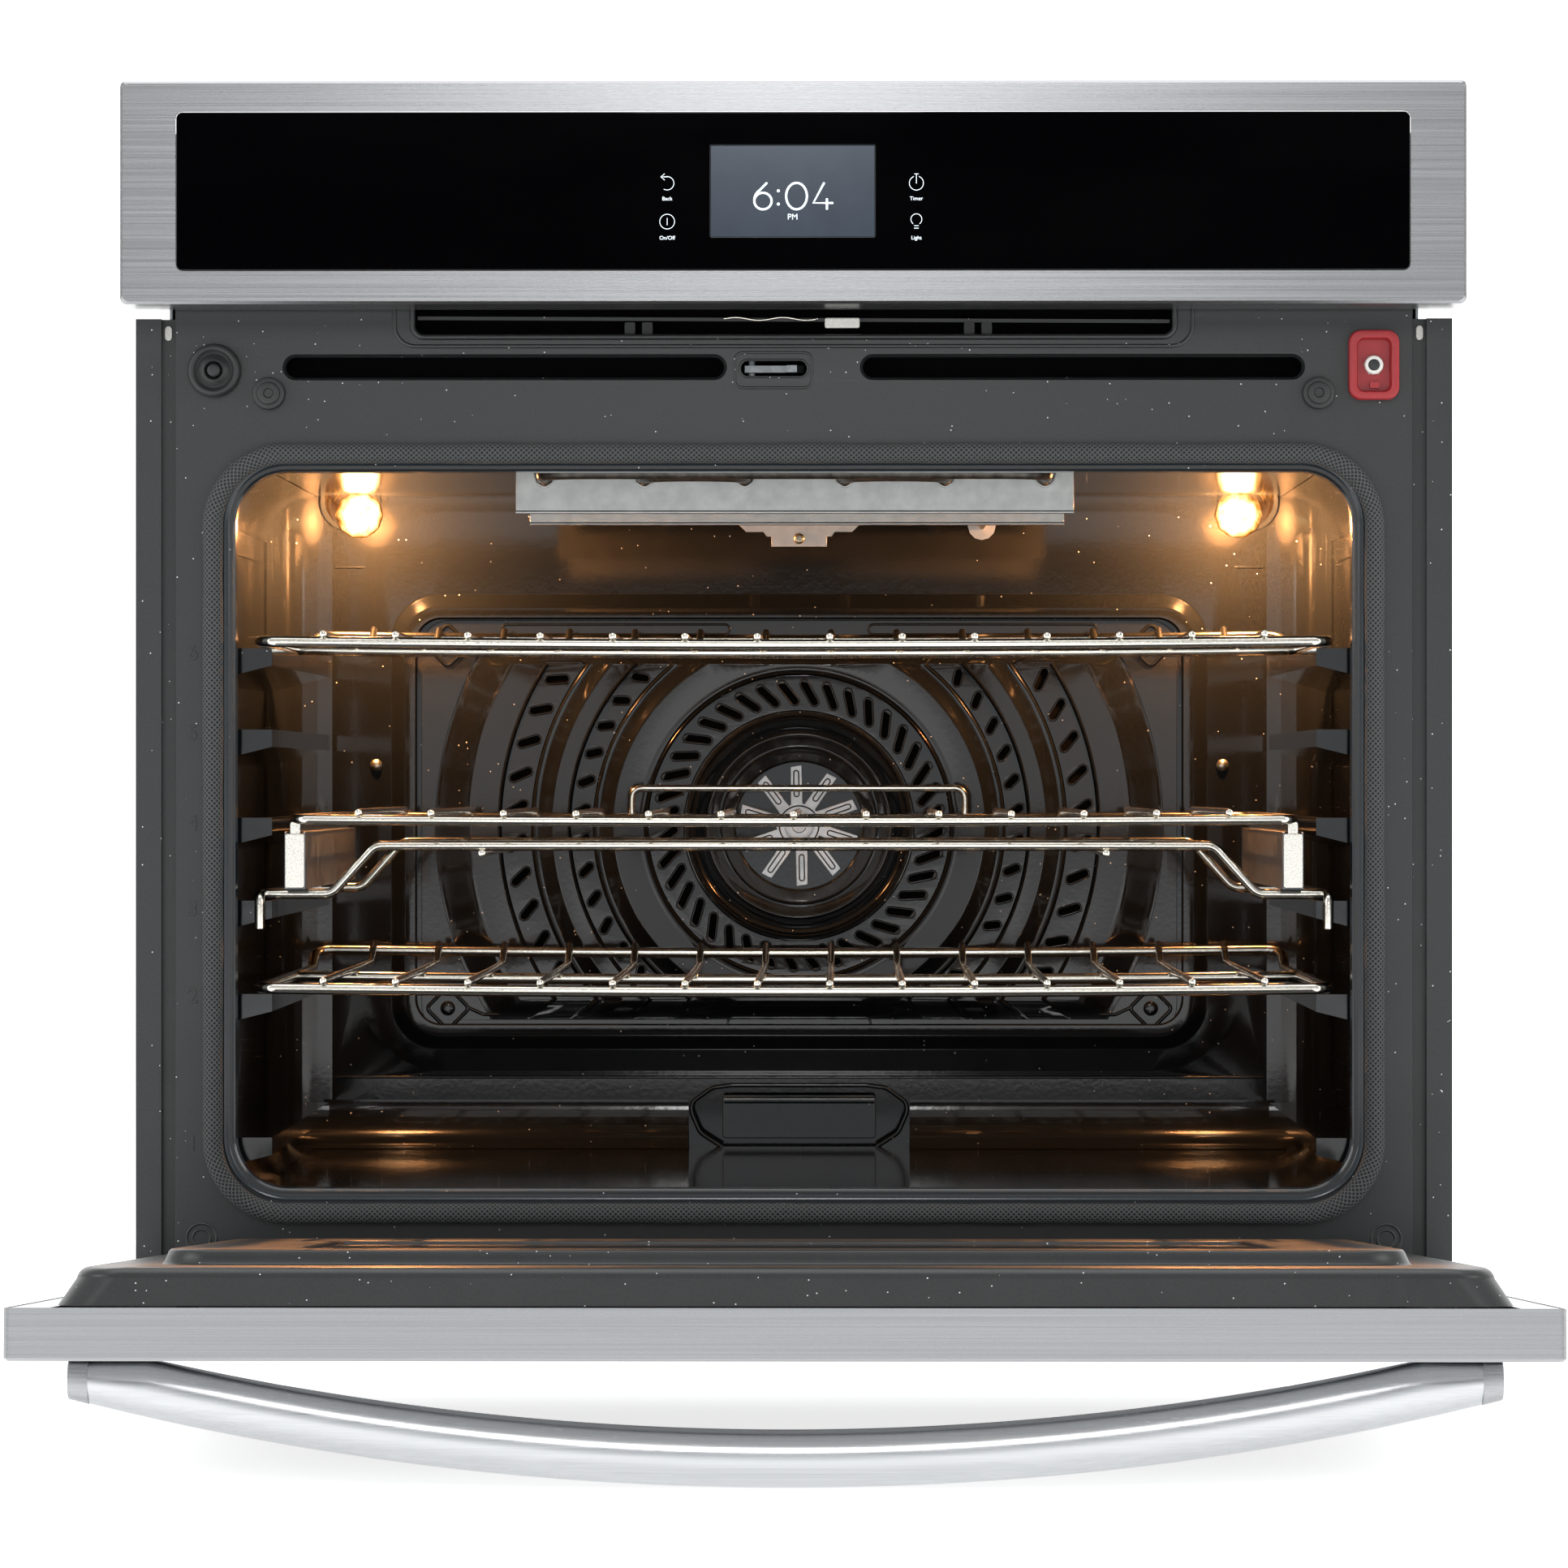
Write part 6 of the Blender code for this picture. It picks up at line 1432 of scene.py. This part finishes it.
def build_door_liner():
    """Deep-drawn door liner: soft outer shoulder, drafted wall, raised inner pan."""
    base_y = -0.0037
    crown = base_y + 0.0190
    pan = crown + 0.0077
    rows = []
    shoulder = 0.0065
    low, high, half = 0.0070, 0.5257, 0.718
    draft = 0.0090
    rows.append(door_loop(half, low, high, 0.020, base_y))
    rows.append(door_loop(half - 0.0006, low + 0.0003, high - 0.0003, 0.020, base_y + 0.0006))
    for k in range(9):
        t = math.radians(8 + 82 * k / 8)
        inset = draft - shoulder * 0.15 + shoulder * (1 - math.cos(t))
        y = crown - shoulder + shoulder * math.sin(t)
        rows.append(door_loop(half - 2 * inset, low + inset, high - inset, 0.022, y))
    pan_half, pan_low, pan_high = 0.6210, 0.0528, 0.4580
    ease = 0.0024
    for share in (1.0, 0.75, 0.5, 0.25, 0.0):
        out = 0.0048 * share
        rise = (1 - math.cos(math.pi * (1 - share))) / 2
        rows.append(door_loop(pan_half + 2 * out, pan_low - out, pan_high + out, 0.024 + out,
                              crown + 0.0001 + (pan - crown) * rise))
    margin = 0.0600
    window = (pan_half - 2 * margin, pan_low + margin, pan_high - margin)
    rows.append(door_loop(window[0] + 2 * ease, window[1] - ease, window[2] + ease, 0.014, pan))
    rows.append(door_loop(window[0] + 0.0008, window[1] - 0.0004, window[2] + 0.0004, 0.0125,
                          pan - 0.0005))
    rows.append(door_loop(window[0], window[1], window[2], 0.0120, pan - 0.0012))
    behind = []
    for row in (door_loop(window[0], window[1], window[2], 0.0120, pan - 0.0018),
                door_loop(pan_half - 0.0024, pan_low + 0.0012, pan_high - 0.0012, 0.023,
                          pan - SHEET),
                door_loop(pan_half + 0.0072, pan_low - 0.0036, pan_high + 0.0036, 0.026,
                          crown - SHEET),
                door_loop(half - 2 * draft - 0.0060, low + draft + 0.0030, high - draft - 0.0030,
                          0.020,
                          crown - 2 * SHEET),
                door_loop(half - 0.0026, low + 0.0013, high - 0.0013, 0.0190, base_y)):
        behind.append(row)
    shape = skin(rows + behind, wrap=True)
    put("door_liner_pan", shape, "front_enamel", "door", ["door_liner"], sharp=50)


def build_handle():
    """Bowed handle: soft-cornered bar on one arc, closed by two end caps."""
    face = -0.030
    z = 0.5477 - 0.045
    half, thick, wide = 0.3535, 0.0287, 0.0220
    reach, end_reach = 0.0634, 0.0200
    bow = reach - end_reach
    radius = (half ** 2 + bow ** 2) / (2 * bow)
    centre = face - reach + radius
    seat = face - 0.0003
    steps = 72
    rows = []
    for k in range(steps + 1):
        x = -half + 2 * half * k / steps
        outer = centre - math.sqrt(radius ** 2 - x ** 2)
        inner = min(seat, centre - math.sqrt((radius - thick) ** 2 - x ** 2))
        deep = (inner - outer) / 2
        mid = (inner + outer) / 2
        row = []
        for step in range(32):
            a = 2 * math.pi * step / 32
            c, s = math.cos(a), math.sin(a)
            u = math.copysign(abs(c) ** 0.94, c) * deep
            v = math.copysign(abs(s) ** 0.96, s) * wide / 2
            row.append(on_door(x, mid + u, z + v))
        rows.append(row)
    put("door_handle_bar", skin(rows), "stainless_handle", "door", ["door_handle"], sharp=55)
    for side, sign in SIDES:
        shape = bmesh.new()
        cap_rows = []
        for out, grow in ((-0.0100, 1.012), (-0.0096, 1.030), (-0.0006, 1.030), (-0.0001, 0.985)):
            x = sign * (half + out)
            outer = centre - math.sqrt(radius ** 2 - x ** 2)
            deep = (seat - outer) / 2
            mid = (seat + outer) / 2
            row = []
            for step in range(32):
                a = 2 * math.pi * step / 32
                c, s = math.cos(a), math.sin(a)
                u = min(deep, max(-deep, math.copysign(abs(c) ** 0.6, c) * deep * grow))
                v = math.copysign(abs(s) ** 0.7, s) * wide / 2 * grow
                row.append(on_door(x, mid + u, z + v))
            cap_rows.append(row)
        put("handle_cap_" + side, skin(cap_rows, shape), "stainless", "door", sharp=45)


def build_skin_returns():
    """The skin's folded edge beside the liner, down each side of the door."""
    for side, sign in SIDES:
        outline = [(0.3602, 0.020), (0.3798, 0.016), (0.3798, 0.5440), (0.3602, 0.5400)]
        rows = [[on_door(sign * x, y, z) for x, z in outline] for y in (-0.0052, -0.0044)]
        put("skin_return_" + side, skin(rows), "stainless", "door")


# ------------------------------------------------------------------ cabinet outside
def build_cabinet_details():
    """Pan-head screws along the edges of the cabinet's back and sides."""
    head, proud = 0.0042, 0.0016
    shape = bmesh.new()
    low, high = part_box("chassis_back")
    for x in (-0.330, -0.165, 0.0, 0.165, 0.330):
        for z in (low.z + 0.012, high.z - 0.012):
            screw(shape, (x, high.y, z), head, proud, (0, 1, 0))
    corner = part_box("chassis_side_right")[1]
    for sign in (-1, 1):
        for y in (-0.180, 0.0, 0.180):
            for z in (0.020, corner.z - 0.020):
                screw(shape, (sign * corner.x, y, z), head, proud, (sign, 0, 0))
    put("cabinet_screws", shape, "zinc_screw", "cabinet")


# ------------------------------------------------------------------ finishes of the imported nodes
def dress_packed_nodes():
    """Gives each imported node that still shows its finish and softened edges."""
    soft = {
        "control_panel_frame": 0.0006, "door_skin": 0.0006, "side_trim_left": 0.0004,
        "side_trim_right": 0.0004, "bottom_trim": 0.0006, "cavity_side_left": 0.0052,
        "cavity_side_right": 0.0052, "chassis_back": 0.0004, "power_inlet_plate": 0.0004,
    }
    for name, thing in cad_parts.items():
        slot = thing.data.materials[0].name
        if name.startswith("cavity_side"):
            slot = "wavy_enamel"
        thing.data.materials.clear()
        thing.data.materials.append(FINISH[slot])
        if name in soft:
            edge = thing.modifiers.new("soft_edges", "BEVEL")
            edge.width = soft[name]
            edge.segments = 3
            edge.limit_method = "ANGLE"
            edge.angle_limit = math.radians(40)
            edge.harden_normals = True
            thing.data.polygons.foreach_set("use_smooth", [True] * len(thing.data.polygons))
            thing.data.set_sharp_from_angle(angle=math.radians(40))


# ------------------------------------------------------------------ studio
PAPER_REACH, PAPER_REAR, PAPER_CURVE, PAPER_TOP = 12.0, 9.0, 2.0, 7.0
PAPER_GLOW, AIR_GLOW = 0.75, 0.62
EYE = (0.0295, FRONT - 3.717, 0.3259)
EYE_TURN = 0.53
LENS_MM, SENSOR_MM = 150.86, 36
BEHIND_EYE = FRONT - 4.0


def build_studio():
    """Pale floor that curves up behind, a low plinth, soft lights and the camera."""
    floor_z = CAD_LOW.z - 0.0004
    pale, tree = blank("studio_paper")
    shades = ((0.3, "f1f1f1"), (0.7, "f6f6f6"))
    wires = {
        "Base Color": add(tree, "ShaderNodeValToRGB", {"Fac": grain(tree, 0.4)}, stops=shades),
        "Roughness": 0.9,
        "Specular IOR Level": 0.1,
        "Emission Color": linear("ffffff"),
        "Emission Strength": PAPER_GLOW,
    }
    surfaced(pale, wires)
    flat_end = PAPER_REAR - PAPER_CURVE
    profile = [(-PAPER_REACH, floor_z), (flat_end, floor_z)]
    for k in range(1, 25):
        turn = math.pi / 2 * k / 24
        profile.append((flat_end + PAPER_CURVE * math.sin(turn),
                        floor_z + PAPER_CURVE * (1 - math.cos(turn))))
    profile.append((PAPER_REAR, PAPER_TOP))
    shape = skin([[(x, y, z) for y, z in profile] for x in (-PAPER_REACH, PAPER_REACH)],
                 around=False)
    made = bpy.data.meshes.new("studio_sweep")
    shape.to_mesh(made)
    shape.free()
    made.polygons.foreach_set("use_smooth", [True] * len(made.polygons))
    made.materials.append(pale)
    backdrop = bpy.data.objects.new("studio_sweep", made)
    bpy.context.scene.collection.objects.link(backdrop)
    foot = rounded(-0.330, 0.330, -0.240, 0.270, 0.02, 6)
    flat = sheet([foot], -0.0004 - floor_z, 0.002)
    flat.transform(Matrix.Translation((0, 0, -0.0002)))
    flat.materials.append(pale)
    plinth = bpy.data.objects.new("studio_plinth", flat)
    bpy.context.scene.collection.objects.link(plinth)

    black, tree = blank("black_velvet")
    shades = ((0.3, "020202"), (0.7, "040404"))
    wires = {
        "Base Color": add(tree, "ShaderNodeValToRGB", {"Fac": grain(tree, 0.01)}, stops=shades),
        "Roughness": 0.95,
        "Specular IOR Level": 0.0,
    }
    surfaced(black, wires)
    card = sheet([rounded(-1.10, 1.05, 0.72, 1.16, 0.02)], 0.004, 0.001)
    card.transform(at_front(FRONT - 3.86))
    card.materials.append(black)
    flag = bpy.data.objects.new("black_flag", card)
    bpy.context.scene.collection.objects.link(flag)

    world = bpy.data.worlds.new("studio_air")
    world.use_nodes = True
    world.node_tree.nodes["Background"].inputs[0].default_value = linear("ffffff")
    world.node_tree.nodes["Background"].inputs[1].default_value = AIR_GLOW
    bpy.context.scene.world = world
    for name, place, aim, size, power, colour in (
        ("panel_softbox", (-0.05, BEHIND_EYE, 1.58), (0, FRONT, 0.65), (0.34, 0.80), 12.5,
         "ffffff"),
        ("low_fill", (0.0, BEHIND_EYE - 0.1, 0.33), (0, FRONT, 0.25), (3.4, 0.70), 4.3, "dde6ee"),
        ("left_softbox", (-3.0, -1.8, 1.6), (0, -0.2, 0.35), (1.6, 2.2), 34, "ffffff"),
        ("right_softbox", (3.0, -1.8, 1.6), (0, -0.2, 0.35), (1.6, 2.2), 34, "ffffff"),
        ("top_softbox", (0.0, -0.6, 3.2), (0, -0.2, 0.35), (3.0, 2.4), 40, "ffffff"),
        ("rear_softbox", (0.0, 2.6, 2.4), (0, -0.2, 0.35), (2.6, 1.4), 40, "ffffff"),
    ):
        lamp = bpy.data.lights.new(name, "AREA")
        lamp.shape = "RECTANGLE"
        lamp.size, lamp.size_y = size
        lamp.energy = power
        lamp.color = linear(colour)[:3]
        light = bpy.data.objects.new(name, lamp)
        light.location = place
        target = Vector(aim) - Vector(place)
        light.rotation_mode = "QUATERNION"
        light.rotation_quaternion = target.to_track_quat("-Z", "Y")
        bpy.context.scene.collection.objects.link(light)

    camera = bpy.data.cameras.new("camera")
    camera.lens = LENS_MM
    camera.sensor_width = SENSOR_MM
    eye = bpy.data.objects.new("camera", camera)
    eye.location = EYE
    eye.rotation_euler = (math.pi / 2, 0, math.radians(EYE_TURN))
    bpy.context.scene.collection.objects.link(eye)
    bpy.context.scene.camera = eye
    bpy.context.scene.view_settings.view_transform = "Standard"


def build():
    """Every piece of the visual model, then the studio."""
    dress_packed_nodes()
    build_panel()
    build_front_frame()
    build_vent_parts()
    build_gasket()
    build_back_wall()
    build_cover()
    build_fan()
    build_broil()
    build_lamps()
    build_plain_rack("rack_top", "top_rack")
    build_plain_rack("rack_bottom", "bottom_rack")
    build_glide_rack()
    build_fittings()
    build_door_liner()
    build_handle()
    build_skin_returns()
    build_cabinet_details()
    build_studio()


build()
